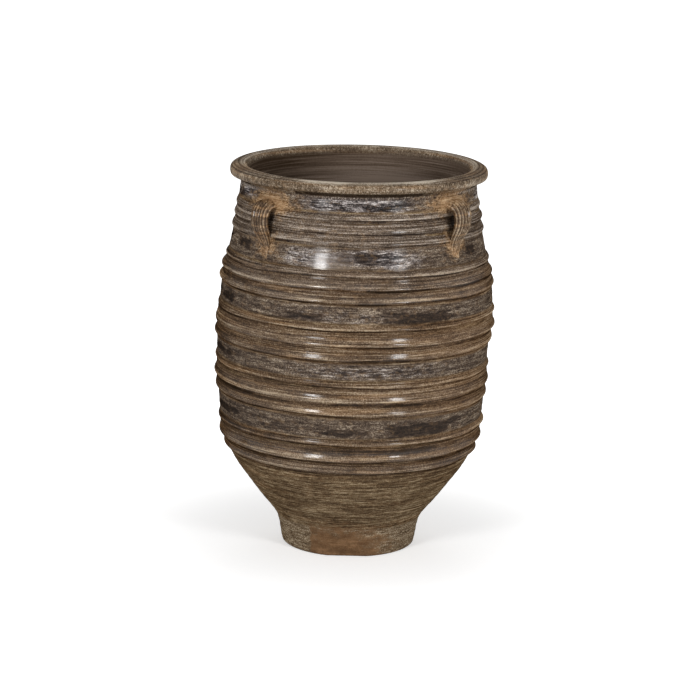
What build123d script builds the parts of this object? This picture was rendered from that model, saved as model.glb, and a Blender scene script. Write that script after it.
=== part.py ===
# A Greek pithos: a tall ribbed clay storage jar with four strap handles at the neck.
# Such a jar is built in stages. A floor disc carries a foot coil and six wall rings, one on another.
# Three cordons are pressed round each stage joint, and the rim and the handles are luted on last.
# Frame: the axis of the jar is Z, it stands on z = 0, and the handles lie close to the X and Y axes.
import os

from build123d import *

os.makedirs("parts", exist_ok=True)

# Height of each stage, in mm, from the floor up
FLOOR_THICKNESS = 22.0
FOOT_RING_HEIGHT = 40.0
LOWER_CONE_HEIGHT = 184.5
LOWER_BELLY_RING_HEIGHT = 120.5
BELLY_RING_HEIGHT = 114.0
UPPER_BELLY_RING_HEIGHT = 110.0
SHOULDER_RING_HEIGHT = 109.5
NECK_RING_HEIGHT = 56.5

# Greatest radius of the outer wall without its cordons, at the belly joint, and how far the wall stands
# inside that at the other joints, at the hip below them and at the mouth
BELLY_RADIUS = 282.3
LOWER_BELLY_INSET = 3.8
HIP_JOINT_INSET = 17.3
HIP_INSET = 42.3
SHOULDER_INSET = 11.3
NECK_INSET = 33.0
MOUTH_INSET = 40.3

# How far each stretch of wall swells out, or is drawn in, half way up between its ends
HIP_SWELL = 2.5
LOWER_BELLY_SWELL = 1.8
BELLY_SWELL = 0.6
UPPER_BELLY_SWELL = 3.6
SHOULDER_HOLLOW = 0.7
NECK_HOLLOW = 0.7

# Foot: it flares to a waist below its joint, and from there a straight cone runs out to the hip
FOOT_RADIUS = 138.0
FOOT_FLARE = 9.0
FOOT_EDGE_ROUND = 5.0
WAIST_DROP = 8.5
WAIST_ROUND = 70.0
HIP_DROP = 66.5

# Inside, with the walls measured level
WALL = 19.0
HIP_WALL = 28.0
FOOT_WALL = 32.0

# Shallow flat on one side of the foot, and the way that it faces, in degrees from +X
FOOT_FLAT_DEPTH = 6.0
FOOT_FLAT_DIRECTION = -47.0

# Stage joints: a V ridge under each ring sits in a groove of the ring below
JOINT_RIDGE_HEIGHT = 5.0
JOINT_RIDGE_WIDTH = 10.0

# Cordons: the step from one to the next in a group of three, and how far they stand proud of the wall
HIP_CORDON_STEP = 29.0
HIP_CORDON_PROUD = 6.6
LOWER_BELLY_CORDON_STEP = 28.0
LOWER_BELLY_CORDON_PROUD = 5.5
BELLY_CORDON_STEP = 28.0
BELLY_CORDON_PROUD = 6.0
SHOULDER_CORDON_STEP = 25.5
SHOULDER_CORDON_PROUD = 7.0
NECK_CORDON_STEP = 22.5
NECK_CORDON_PROUD = 4.8
CORDON_GAP = 3.0

# Layer of slip under the cordons and the handles
LUTE = 0.5

# Rim
RIM_OVERHANG = 22.0
RIM_BEVEL_WIDTH = 7.0
RIM_HEIGHT = 43.0
RIM_UNDERSIDE_RISE = 12.0
RIM_BEVEL_DEPTH = 12.0
RIM_LOWER_ROUND = 7.0
RIM_UPPER_ROUND = 9.0
RIM_INNER_ROUND = 4.0

# Handles: an ear-shaped strap from below the rim down past the neck cordons.
# Reaches are from the wall at the upper root to the middle of the strap. The drop of the greatest reach
# is from that root, and the rise of the waist is from the lower one.
HANDLE_DROP = 18.0
HANDLE_SPAN = 89.0
HANDLE_SHOULDER_REACH = 17.0
HANDLE_REACH = 35.5
HANDLE_REACH_DROP = 25.0
HANDLE_WAIST_REACH = 24.0
HANDLE_WAIST_RISE = 36.0
HANDLE_WIDTH = 36.0
HANDLE_THICKNESS = 16.0
HANDLE_UPPER_ROOT_WIDTH = 54.0
HANDLE_LOWER_ROOT_WIDTH = 30.0
HANDLE_ROOT_THICKNESS = 20.0
HANDLE_EDGE_ROUND = 6.0
HANDLE_SECTIONS = 9

# Hand-set places of the handles round the neck, in degrees from +X
HANDLE_DIRECTIONS = {"handle_right": 2, "handle_back": 91, "handle_left": 179, "handle_front": 268}

# Heights of the stage joints, up to the one under the rim
foot_joint = FLOOR_THICKNESS + FOOT_RING_HEIGHT
hip_joint = foot_joint + LOWER_CONE_HEIGHT
lower_belly_joint = hip_joint + LOWER_BELLY_RING_HEIGHT
belly_joint = lower_belly_joint + BELLY_RING_HEIGHT
shoulder_joint = belly_joint + UPPER_BELLY_RING_HEIGHT
neck_joint = shoulder_joint + SHOULDER_RING_HEIGHT
rim_joint = neck_joint + NECK_RING_HEIGHT
rim_top = rim_joint + RIM_HEIGHT
hip_height = hip_joint - HIP_DROP
waist_height = foot_joint - WAIST_DROP

# Outer radii that follow from the belly and the foot
hip_radius = BELLY_RADIUS - HIP_INSET
hip_joint_radius = BELLY_RADIUS - HIP_JOINT_INSET
lower_belly_radius = BELLY_RADIUS - LOWER_BELLY_INSET
shoulder_radius = BELLY_RADIUS - SHOULDER_INSET
neck_radius = BELLY_RADIUS - NECK_INSET
mouth_radius = BELLY_RADIUS - MOUTH_INSET
floor_radius = FOOT_RADIUS - FOOT_WALL

# Stretches of the outer wall from the hip up: the swell half way, and the radius and height at the top
WALL_STRETCHES = [
    (HIP_SWELL, hip_joint_radius, hip_joint),
    (LOWER_BELLY_SWELL, lower_belly_radius, lower_belly_joint),
    (BELLY_SWELL, BELLY_RADIUS, belly_joint),
    (UPPER_BELLY_SWELL, shoulder_radius, shoulder_joint),
    (-SHOULDER_HOLLOW, neck_radius, neck_joint),
    (-NECK_HOLLOW, mouth_radius, rim_joint),
]

# Past everything that a cutting shape has to reach
OUTSIDE = 2 * BELLY_RADIUS

# Halvings that find a height on a wall line closely enough
HALVINGS = 40


def radius_at(line, height):
    """Radius of a rising wall line, drawn as (radius, height), where it passes a height."""
    edges = [edge for edge in line.edges() if min((edge @ 0).Y, (edge @ 1).Y) <= height]
    edge = max(edges, key=lambda found: min((found @ 0).Y, (found @ 1).Y))
    low, high = 0.0, 1.0
    if (edge @ 0).Y > (edge @ 1).Y:
        low, high = high, low
    for _ in range(HALVINGS):
        middle = (low + high) / 2
        if (edge @ middle).Y < height:
            low = middle
        else:
            high = middle
    return (edge @ high).X


def wall_arcs(start, wall):
    """Draw the stretches of wall from a start point upwards, level inside the outer wall by a thickness."""
    for swell, top_radius, top_height in WALL_STRETCHES:
        end = (top_radius - wall, top_height)
        middle = ((start[0] + end[0]) / 2 + swell, (start[1] + end[1]) / 2)
        ThreePointArc(start, middle, end)
        start = end


# Wall lines, as (radius, height), from the floor up
with BuildLine() as outer_line:
    FilletPolyline(
        (FOOT_RADIUS, 0),
        (FOOT_RADIUS + FOOT_FLARE, waist_height),
        (hip_radius, hip_height),
        radius=WAIST_ROUND,
    )
    wall_arcs((hip_radius, hip_height), 0)

with BuildLine() as inner_line:
    Line((floor_radius, FLOOR_THICKNESS), (hip_radius - HIP_WALL, hip_height))
    wall_arcs((hip_radius - HIP_WALL, hip_height), WALL)

# The wall's half section, and the whole region inside its outer line
with BuildSketch() as wall_section:
    with BuildLine():
        add(outer_line.line)
        Line((mouth_radius, rim_joint), (mouth_radius - WALL, rim_joint))
        add(inner_line.line)
        Polyline((floor_radius, FLOOR_THICKNESS), (0, FLOOR_THICKNESS), (0, 0), (FOOT_RADIUS, 0))
    make_face()
    foot_edge = wall_section.vertices().group_by(Axis.Y)[0].sort_by(Axis.X)[-1]
    fillet(foot_edge, radius=FOOT_EDGE_ROUND)

with BuildSketch() as jar_outline:
    with BuildLine():
        add(outer_line.line)
        Polyline((mouth_radius, rim_joint), (0, rim_joint), (0, 0), (FOOT_RADIUS, 0))
    make_face()


def joint_points(height):
    """The V of a stage joint at mid wall, from the inside out, as (radius, height) points."""
    middle = (radius_at(inner_line.line, height) + radius_at(outer_line.line, height)) / 2
    half_width = JOINT_RIDGE_WIDTH / 2
    ridge = (middle, height - JOINT_RIDGE_HEIGHT)
    return [(middle - half_width, height), ridge, (middle + half_width, height)]


# Wedge that takes the shallow flat off the foot
flat_plane = Plane.XZ.rotated((0, 0, FOOT_FLAT_DIRECTION))
with BuildPart() as foot_flat:
    with BuildSketch(flat_plane):
        Polygon(
            (FOOT_RADIUS - FOOT_FLAT_DEPTH, 0),
            (OUTSIDE, 0),
            (OUTSIDE, waist_height),
            (radius_at(outer_line.line, waist_height), waist_height),
            align=None,
        )
    extrude(amount=FOOT_RADIUS, both=True)

# Floor disc, foot coil and wall rings: bands of the wall section between stage joints, turned round the axis
STAGES = {
    "floor_disc": (0, FLOOR_THICKNESS),
    "foot_ring": (FLOOR_THICKNESS, foot_joint),
    "lower_cone": (foot_joint, hip_joint),
    "lower_belly_ring": (hip_joint, lower_belly_joint),
    "belly_ring": (lower_belly_joint, belly_joint),
    "upper_belly_ring": (belly_joint, shoulder_joint),
    "shoulder_ring": (shoulder_joint, neck_joint),
    "neck_ring": (neck_joint, rim_joint),
}
for stage_name, (bottom, top) in STAGES.items():
    bottom_points = [] if bottom == 0 else joint_points(bottom)
    with BuildPart() as stage:
        with BuildSketch(Plane.XZ):
            add(wall_section.sketch)
            Polygon(
                (0, bottom),
                *bottom_points,
                (OUTSIDE, bottom),
                (OUTSIDE, top),
                *reversed(joint_points(top)),
                (0, top),
                align=None,
                mode=Mode.INTERSECT,
            )
        revolve(axis=Axis.Z)
        if bottom < waist_height:
            add(foot_flat.part, mode=Mode.SUBTRACT)
    stage.part.label = stage_name
    export_step(stage.part, f"parts/{stage_name}.step")

# Rim
with BuildPart() as rim_ring:
    with BuildSketch(Plane.XZ) as rim_section:
        with BuildLine():
            Polyline(
                (mouth_radius - WALL, rim_joint),
                *joint_points(rim_joint),
                (mouth_radius, rim_joint),
                (mouth_radius + RIM_OVERHANG, rim_joint + RIM_UNDERSIDE_RISE),
                (mouth_radius + RIM_OVERHANG, rim_top),
                (mouth_radius - WALL + RIM_BEVEL_WIDTH, rim_top),
                (mouth_radius - WALL, rim_top - RIM_BEVEL_DEPTH),
                close=True,
            )
        make_face()
        fillet(rim_section.vertices().group_by(Axis.Y)[-1].sort_by(Axis.X)[-1], radius=RIM_UPPER_ROUND)
        fillet(rim_section.vertices().group_by(Axis.Y)[-1].sort_by(Axis.X)[0], radius=RIM_INNER_ROUND)
        fillet(rim_section.vertices().group_by(Axis.X)[-1].sort_by(Axis.Y)[0], radius=RIM_LOWER_ROUND)
    revolve(axis=Axis.Z)
rim_ring.part.label = "rim_ring"
export_step(rim_ring.part, "parts/rim_ring.step")

# Cordons: round beads seated on the wall, three over each stage joint
CORDON_GROUPS = {
    "hip": (hip_joint, HIP_CORDON_STEP, HIP_CORDON_PROUD),
    "lower_belly": (lower_belly_joint, LOWER_BELLY_CORDON_STEP, LOWER_BELLY_CORDON_PROUD),
    "belly": (belly_joint, BELLY_CORDON_STEP, BELLY_CORDON_PROUD),
    "shoulder": (shoulder_joint, SHOULDER_CORDON_STEP, SHOULDER_CORDON_PROUD),
    "neck": (neck_joint, NECK_CORDON_STEP, NECK_CORDON_PROUD),
}
neck_beads = []
for group, (joint_height, step, proud) in CORDON_GROUPS.items():
    half_width = (step - CORDON_GAP) / 2
    bead_radius = (half_width**2 + proud**2) / (2 * proud)
    for place, steps_up in (("lower", -1), ("middle", 0), ("upper", 1)):
        cordon_name = f"{group}_cordon_{place}"
        crest_height = joint_height + steps_up * step
        bead_place = (radius_at(outer_line.line, crest_height) + proud - bead_radius, crest_height)
        with BuildPart() as cordon:
            with BuildSketch(Plane.XZ):
                with Locations(bead_place):
                    Circle(bead_radius)
                with Locations((LUTE, 0)):
                    add(jar_outline.sketch, mode=Mode.SUBTRACT)
            revolve(axis=Axis.Z)
        cordon.part.label = cordon_name
        export_step(cordon.part, f"parts/{cordon_name}.step")
        if group == "neck":
            neck_beads.append((bead_place, bead_radius))

# Handle path: out of the wall below the rim, over the knuckle, and down to the wall below the cordons
upper_root_height = rim_joint - HANDLE_DROP
lower_root_height = upper_root_height - HANDLE_SPAN
upper_root_radius = radius_at(outer_line.line, upper_root_height)
lower_root_radius = radius_at(outer_line.line, lower_root_height)
with BuildLine(Plane.XZ) as handle_path:
    strap_line = Spline(
        (upper_root_radius - HANDLE_THICKNESS, upper_root_height),
        (upper_root_radius + HANDLE_SHOULDER_REACH, upper_root_height),
        (upper_root_radius + HANDLE_REACH, upper_root_height - HANDLE_REACH_DROP),
        (upper_root_radius + HANDLE_WAIST_REACH, lower_root_height + HANDLE_WAIST_RISE),
        (lower_root_radius - HANDLE_THICKNESS, lower_root_height),
    )

# Solid that the handles seat against: the neck of the jar with its cordons, under a layer of slip
with BuildPart() as handle_seat:
    with BuildSketch(Plane.XZ):
        with Locations((LUTE, 0)):
            add(jar_outline.sketch)
        for bead_place, bead_radius in neck_beads:
            with Locations(bead_place):
                Circle(bead_radius + LUTE)
        Polygon(
            (LUTE, lower_root_height - HANDLE_SPAN),
            (OUTSIDE, lower_root_height - HANDLE_SPAN),
            (OUTSIDE, rim_joint),
            (LUTE, rim_joint),
            align=None,
            mode=Mode.INTERSECT,
        )
    revolve(axis=Axis.Z)

with BuildPart() as strap:
    for section_number in range(HANDLE_SECTIONS):
        along = section_number / (HANDLE_SECTIONS - 1)
        root_share = abs(2 * along - 1) ** 3
        root_width = HANDLE_UPPER_ROOT_WIDTH if along < 0.5 else HANDLE_LOWER_ROOT_WIDTH
        width = HANDLE_WIDTH + (root_width - HANDLE_WIDTH) * root_share
        thickness = HANDLE_THICKNESS + (HANDLE_ROOT_THICKNESS - HANDLE_THICKNESS) * root_share
        section_plane = Plane(strap_line @ along, x_dir=(0, 1, 0), z_dir=strap_line % along)
        with BuildSketch(section_plane):
            RectangleRounded(width, thickness, HANDLE_EDGE_ROUND)
    loft()
    add(handle_seat.part, mode=Mode.SUBTRACT)

for handle_name, turn in HANDLE_DIRECTIONS.items():
    with BuildPart() as handle:
        add(strap.part, rotation=(0, 0, turn))
    handle.part.label = handle_name
    export_step(handle.part, f"parts/{handle_name}.step")
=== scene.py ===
# %% [markdown]
# # Dressing a Greek pithos
# The jar was built in stages from one coarse clay. While it was damp, pale and dark slips were wiped
# round it with a rag and dabbed on with a sponge, and the firing gave them a satin skin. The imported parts
# hold every piece at its real size and place. Here each piece gets its hand-made surface, and the same
# clay, slips and sponge marks run over all of them.

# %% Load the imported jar
import math

import bpy
import numpy as np
from mathutils import Matrix, Vector


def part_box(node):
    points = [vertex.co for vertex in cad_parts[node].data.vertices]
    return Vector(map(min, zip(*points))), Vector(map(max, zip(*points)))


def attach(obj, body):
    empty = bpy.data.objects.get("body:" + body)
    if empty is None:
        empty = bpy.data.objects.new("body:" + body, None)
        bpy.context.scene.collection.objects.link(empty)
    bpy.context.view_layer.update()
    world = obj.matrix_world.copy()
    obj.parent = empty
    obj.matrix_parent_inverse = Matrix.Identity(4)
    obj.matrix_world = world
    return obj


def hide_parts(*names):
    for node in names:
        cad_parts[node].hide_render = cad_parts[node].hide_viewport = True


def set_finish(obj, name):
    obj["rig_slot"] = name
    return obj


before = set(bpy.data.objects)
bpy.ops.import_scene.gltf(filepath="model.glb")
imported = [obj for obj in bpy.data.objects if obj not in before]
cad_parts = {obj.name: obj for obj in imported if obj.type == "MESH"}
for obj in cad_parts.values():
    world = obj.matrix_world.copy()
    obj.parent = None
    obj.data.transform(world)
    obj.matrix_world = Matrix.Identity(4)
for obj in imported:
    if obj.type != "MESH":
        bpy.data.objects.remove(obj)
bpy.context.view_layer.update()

# %% [markdown]
# ## A measuring tape
# Shapes are worked out in millimetres round the jar's axis: an angle, a radius and a height. Heights and
# radii of the stages could be typed in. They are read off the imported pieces, so the dressed jar fits
# those pieces.

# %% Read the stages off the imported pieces
MM = 0.001


def top_of(node):
    """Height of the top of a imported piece, in mm."""
    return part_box(node)[1].z / MM


def reach_of(node):
    """Greatest radius of a packed ring, in mm: half its width along X."""
    low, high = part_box(node)
    return (high.x - low.x) / 2 / MM


FLOOR_TOP = top_of("floor_disc")
FOOT_JOINT = top_of("foot_ring")
HIP_JOINT = top_of("lower_cone")
LOWER_BELLY_JOINT = top_of("lower_belly_ring")
BELLY_JOINT = top_of("belly_ring")
SHOULDER_JOINT = top_of("upper_belly_ring")
NECK_JOINT = top_of("shoulder_ring")
RIM_JOINT = top_of("neck_ring")

# %% [markdown]
# ## Which way is which
# The photograph looks at the jar from a direction between two handles. Angles round the jar are counted
# from that front, to the right, so a mark that shows at one place can be put there by name. Two soft
# curves do most of the shaping: a step from 0 to 1, and a bell.

# %% Angles and soft curves
FRONT = math.radians(-47)
COLUMNS = 480
TURN = np.arange(COLUMNS) * 2 * math.pi / COLUMNS


def apart(turn, start):
    """Angle from a start to a turn, in radians, between minus and plus half a turn."""
    return (turn - start + math.pi) % (2 * math.pi) - math.pi


def side_of(turn):
    """Degrees from the front, positive to the right."""
    return np.degrees(apart(turn, FRONT))


def smoothstep(value, low, high):
    """0 below low, 1 above high, and the cubic 3t^2 - 2t^3 between them."""
    share = np.clip((value - low) / (high - low), 0, 1)
    return share * share * (3 - 2 * share)


def bell(value, middle, half_width, power=2):
    """exp(-((value - middle) / half width)^power), which has a flatter top for a power of 4."""
    return np.exp(-(((value - middle) / half_width) ** power))


print("front", round(math.degrees(FRONT)), "degrees, columns", COLUMNS)

# %% [markdown]
# ## The wall line
# The outer wall is one smooth line through a few stations, as a potter's rib would shape it: the radii at
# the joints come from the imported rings, and those between were read off the outline. A cubic through them
# has no corners, where straight pieces would show as bands of light.

# %% Outer wall line and thickness
WALL_STATIONS = sorted([
    (0, 137.5), (40, 144.6), (80, 164), (100, 180.6), (140, 210.8), (180, 239.3), (200, 250.2),
    (276, 271), (320, 275.2), (424, 280.8), (524, 281.2), (548, 279.4), (645, 259.6), (728, 245.4),
    (FLOOR_TOP, reach_of("floor_disc")),
    (FOOT_JOINT, 151.6),
    (HIP_JOINT, reach_of("lower_cone")),
    (LOWER_BELLY_JOINT, reach_of("lower_belly_ring")),
    (BELLY_JOINT, reach_of("belly_ring")),
    (SHOULDER_JOINT, reach_of("shoulder_ring")),
    (NECK_JOINT, reach_of("neck_ring")),
    (RIM_JOINT, 242),
])
THICKNESS_STATIONS = [(FLOOR_TOP, 36), (FOOT_JOINT, 21), (180, 28), (HIP_JOINT, 19), (RIM_JOINT, 19)]
STATION_HEIGHTS, STATION_RADII = np.array(WALL_STATIONS, float).T
STATION_SLOPES = np.gradient(STATION_RADII, STATION_HEIGHTS)


def wall_line(height):
    """Cubic Hermite curve through the stations, with each slope from a station's two neighbours."""
    start = np.clip(np.searchsorted(STATION_HEIGHTS, height) - 1, 0, len(STATION_HEIGHTS) - 2)
    rise = STATION_HEIGHTS[start + 1] - STATION_HEIGHTS[start]
    t = np.clip((height - STATION_HEIGHTS[start]) / rise, 0, 1)
    return (
        (2 * t**3 - 3 * t**2 + 1) * STATION_RADII[start]
        + (t**3 - 2 * t**2 + t) * rise * STATION_SLOPES[start]
        + (3 * t**2 - 2 * t**3) * STATION_RADII[start + 1]
        + (t**3 - t**2) * rise * STATION_SLOPES[start + 1]
    )


def thickness(height):
    """Level thickness of the wall: straight lines between its stations."""
    return np.interp(height, *np.array(THICKNESS_STATIONS, float).T)


print("hip, belly, neck", wall_line(np.array([300.0, 481.0, 700.0])).round(1))

# %% [markdown]
# ## The potter's hand
# No coil-built jar is quite round. Slow waves make the wall a little oval, and short ones are the lines
# that fingers leave as the jar turns. Sculpting could do this, but a few sines are easy to tune, and they
# give the same jar on every run.

# %% Waves in the wall
# Slow waves: depth in mm, lobes round the jar, phase, and the height in mm in which they twist by a radian
ROUNDNESS_WAVES = [(0.8, 2, 0.6, 260), (0.5, 3, 2.1, -190)]
DRIFT_WAVES = [(1.3, 1, 0, 90), (0.7, 3, 0, -55)]
# Lines up the wall: depth and spacing in mm, and how strongly they follow a drift
FINGER_WAVES = [(0.07, 6.3, 1), (0.10, 10.1, -1), (0.18, 16.7, 2)]
SPIRAL_WAVES = [(0.8, 19, 1), (0.3, 8.3, -1)]


def slow_waves(turn, height, waves):
    """Sum of depth * sin(lobes * turn + phase + height / twist)."""
    return sum(
        depth * np.sin(lobes * turn + phase + height / twist) for depth, lobes, phase, twist in waves
    )


def lines_up(height, drift, waves):
    """Sum of depth * sin(2 pi height / spacing + share * drift)."""
    return sum(
        depth * np.sin(2 * math.pi * height / spacing + share * drift) for depth, spacing, share in waves
    )


print("finger lines", [spacing for _, spacing, _ in FINGER_WAVES], "mm apart")

# %% [markdown]
# ## Smoothed patches
# A wet hand smoothed a few patches of the shoulder, and they kept a thick glossy coat. They could be
# painted on the mesh by hand. A list of places and sizes gives the same marks on every run, and serves
# the shape, the shine, and a paler tone that is a painted sheen.

# %% Smoothed patches
# Degrees from the front, height, half width in degrees, half height, strength
GLOSSY_PATCHES = [
    (-11.5, 634, 10, 22, 1.0), (20, 632, 9, 13, 0.14), (95, 642, 18, 20, 0.6), (165, 645, 24, 20, 0.7),
    (245, 640, 16, 18, 0.5),
]


def patches(turn, height, marks):
    """Blocky marks with soft edges: the sum of strength * bell across * bell up, of the fourth power."""
    side = side_of(turn)
    total = np.zeros(np.broadcast(turn, height).shape)
    for middle, mark_height, half_width, half_height, strength in marks:
        across = (side - middle + 180) % 360 - 180
        total += strength * bell(across, 0, half_width, 4) * bell(height, mark_height, half_height, 4)
    return np.clip(total, 0, 1)


print("smoothed patches", len(GLOSSY_PATCHES))

# %% [markdown]
# ## Clay at the handle roots
# The handles were luted on with extra clay, smeared out over the wall. A lump could be modelled at each
# root. It is a soft mound in the wall's radius instead, so everything that lies on the wall follows it
# without a seam.

# %% Clay at the handle roots
HANDLE_TURNS = {
    name: math.atan2(sum(c.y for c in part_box(name)), sum(c.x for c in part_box(name)))
    for name in ("handle_right", "handle_back", "handle_left", "handle_front")
}
# How much lower than the others a strap was set
STRAP_DROPS = {"handle_right": 0.0, "handle_back": 0.0, "handle_left": 1.5, "handle_front": 6.0}
# Heights of the roots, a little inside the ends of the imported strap
UPPER_ROOT = top_of("handle_right") - 11
LOWER_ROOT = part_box("handle_right")[0].z / MM + 4
NECK_RADIUS = reach_of("neck_ring")
# A mound is wider above its root than below it, by this share
SMEARED_UP = 1.5


def near_handles(turn, height):
    """For each handle, how far round the wall a point is from it, and how high up it, in mm."""
    for handle, handle_turn in HANDLE_TURNS.items():
        yield NECK_RADIUS * apart(turn, handle_turn), height + STRAP_DROPS[handle]


def root_clay(turn, height, upper_spread, lower_spread, lower_share=1.0):
    """Bell-shaped mounds at the upper root of every handle, 1 high, and at the lower one, lower_share high.

    A spread is (round the wall, up the wall) in mm.
    """
    roots = ((UPPER_ROOT, upper_spread, 1.0), (LOWER_ROOT, lower_spread, lower_share))
    mounds = np.zeros(np.broadcast(turn, height).shape)
    for across, level in near_handles(turn, height):
        for root, (spread, rise), share in roots:
            up = np.where(level > root, SMEARED_UP * rise, rise)
            mounds += share * bell(across, 0, spread) * bell(level, root, up)
    return mounds


print("roots at", round(LOWER_ROOT), "and", round(UPPER_ROOT), "mm")

# %% [markdown]
# ## The pared foot
# One side of the foot was pared flat with a knife. A boolean cut would do it, but it breaks up the mesh
# and leaves a hard edge. Taking the depth of a plane off the radius keeps the grid whole.

# %% The pared foot
FLAT_DEPTH = 7.5
FLAT_TOP = 56
# Widest angle from the front, in radians, that the pared plane is worked out for
FLAT_REACH = 1.2


def foot_flat(turn, height, radius):
    """How far the pared plane lies inside the foot: radius minus plane distance / cos(side), not below 0."""
    side = np.clip(apart(turn, FRONT), -FLAT_REACH, FLAT_REACH)
    plane = wall_line(height) - FLAT_DEPTH * (1 - height / FLAT_TOP)
    cut = np.where(height < FLAT_TOP, radius - plane / np.cos(side), 0)
    return np.where(cut > 0, cut, 0)


print("pared", FLAT_DEPTH, "mm deep, up to", FLAT_TOP, "mm")

# %% [markdown]
# ## The two sides of the wall
# Every piece reads the outer and inner wall from the same two formulas, so stages, cordons and rim meet
# without a seam. The upper half of the jar has settled a few millimetres to one side, and all points are
# shifted alike.

# %% Outer wall, inner wall and lean
# Below this height the foot was turned true
TRUE_BELOW = 120
HAND_SMOOTHING = 0.8
# Root clay: height in mm, then spreads of upper and lower mound, and share of the lower
MOUND_HEIGHT = 8.0
MOUND_SPREADS = ((46, 11), (16, 16), 0.25)
# How far the upper half has settled, to which side, and the heights between which that begins
LEAN = 6.5
LEAN_TURN = FRONT + math.pi / 2
LEAN_HEIGHTS = (400, 530)


def outer_wall(turn, height):
    """Radius of the outer wall: the wall line, with its unevenness, root clay and pared foot."""
    ridged = 1 - HAND_SMOOTHING * patches(turn, height, GLOSSY_PATCHES)
    drift = slow_waves(turn, height, DRIFT_WAVES)
    uneven = slow_waves(turn, height, ROUNDNESS_WAVES) * smoothstep(height, 0, TRUE_BELOW)
    radius = wall_line(height) + uneven
    radius = radius + ridged * lines_up(height, drift, FINGER_WAVES)
    radius = radius + MOUND_HEIGHT * root_clay(turn, height, *MOUND_SPREADS)
    return radius - foot_flat(turn, height, radius)


def inner_wall(turn, height):
    """Radius of the inner wall: the wall line less its thickness, with a spiral that one finger left."""
    return wall_line(height) - thickness(height) + lines_up(height, turn, SPIRAL_WAVES)


def place(turn, radius, height):
    """Points (x, y, z) in mm, shifted sideways where the upper half of the jar has settled."""
    shift = LEAN * smoothstep(height, *LEAN_HEIGHTS)
    x = radius * np.cos(turn) + shift * math.cos(LEAN_TURN)
    y = radius * np.sin(turn) + shift * math.sin(LEAN_TURN)
    return np.stack(np.broadcast_arrays(x, y, height), axis=-1)


print("widest", outer_wall(TURN, np.full((1, 1), 481.0)).max().round(1))

# %% [markdown]
# ## Where the cordons lie
# Five groups of three cordons cover the joints. They could be placed one by one. The slips have to know
# where the cordons are before those are made, so one table serves both, and a group can be moved as a
# whole.

# %% Table of cordons
# Cordons of a group: steps up from the joint, width in steps, share of the relief, share of the shine
NECK_ROLLS = {
    "lower": (-1.2, 1.08, 0.9, 1.0), "middle": (-0.12, 1.1, 1.0, 1.0), "upper": (0.9, 0.95, 0.8, 0.6),
}
SHOULDER_ROLLS = {
    "lower": (-1.1, 1.0, 1.0, 1.0), "middle": (-0.1, 1.1, 1.0, 1.0), "upper": (0.82, 0.66, 0.65, 0.5),
}
BELLY_ROLLS = {
    "lower": (-1.15, 0.94, 0.9, 0.9), "middle": (-0.15, 1.36, 1.1, 1.0), "upper": (0.95, 0.64, 0.6, 0.5),
}
HIP_ROLLS = {
    "lower": (-1.15, 0.94, 1.0, 0.9), "middle": (-0.22, 1.36, 1.35, 1.0), "upper": (0.9, 0.64, 0.8, 0.6),
}
# Groups: joint height, step, how far the cordons stand proud and how far they droop to the right, in mm,
# then how shiny they are, and their rolls
CORDON_GROUPS = {
    "hip": (HIP_JOINT, 29.0, 6.6, 0.0, 0.75, HIP_ROLLS),
    "lower_belly": (LOWER_BELLY_JOINT, 28.0, 5.5, 3.0, 0.5, BELLY_ROLLS),
    "belly": (BELLY_JOINT, 28.0, 6.0, 2.5, 0.5, BELLY_ROLLS),
    "shoulder": (SHOULDER_JOINT, 25.5, 7.0, 2.0, 0.85, SHOULDER_ROLLS),
    "neck": (NECK_JOINT, 22.5, 4.8, 0.0, 0.3, NECK_ROLLS),
}
print("cordon groups", list(CORDON_GROUPS))

# %% [markdown]
# ## The plain bands
# Between the groups the wall was left plain and sponged. A band could have fixed heights, but the cordons
# droop to one side. Its edges are worked out from the table, and follow them.

# %% The plain bands
# Share of a cordon's width that lies below its crest
UNDER_SHARE = 0.36
# Heights between which the lowest band starts, and how far a band's edge reaches out of and into a group
BAND_START = (250, 285)
EDGE_OUT = 4
EDGE_IN = 3


def droop(turn, amount):
    """How far a cordon lies below level: a tilt of amount * sin(side), lowest on the right."""
    return amount * np.sin(apart(turn, FRONT))


def plain_band(turn, height):
    """1 on the plain bands between the groups of cordons, 0 on the cordons and below the hip."""
    band = smoothstep(height, *BAND_START)
    for joint, step, _, tilt, _, rolls in CORDON_GROUPS.values():
        level = height + droop(turn, tilt)
        bottom = joint + step * (rolls["lower"][0] - UNDER_SHARE * rolls["lower"][1])
        top = joint + step * (rolls["upper"][0] + (1 - UNDER_SHARE) * rolls["upper"][1])
        above = smoothstep(level, bottom - EDGE_OUT, bottom + EDGE_IN)
        below = 1 - smoothstep(level, top - EDGE_IN, top + EDGE_OUT)
        band = band * (1 - above * below)
    return band


print("band at the belly joint", plain_band(TURN[:1], BELLY_JOINT).round(2))
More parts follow.
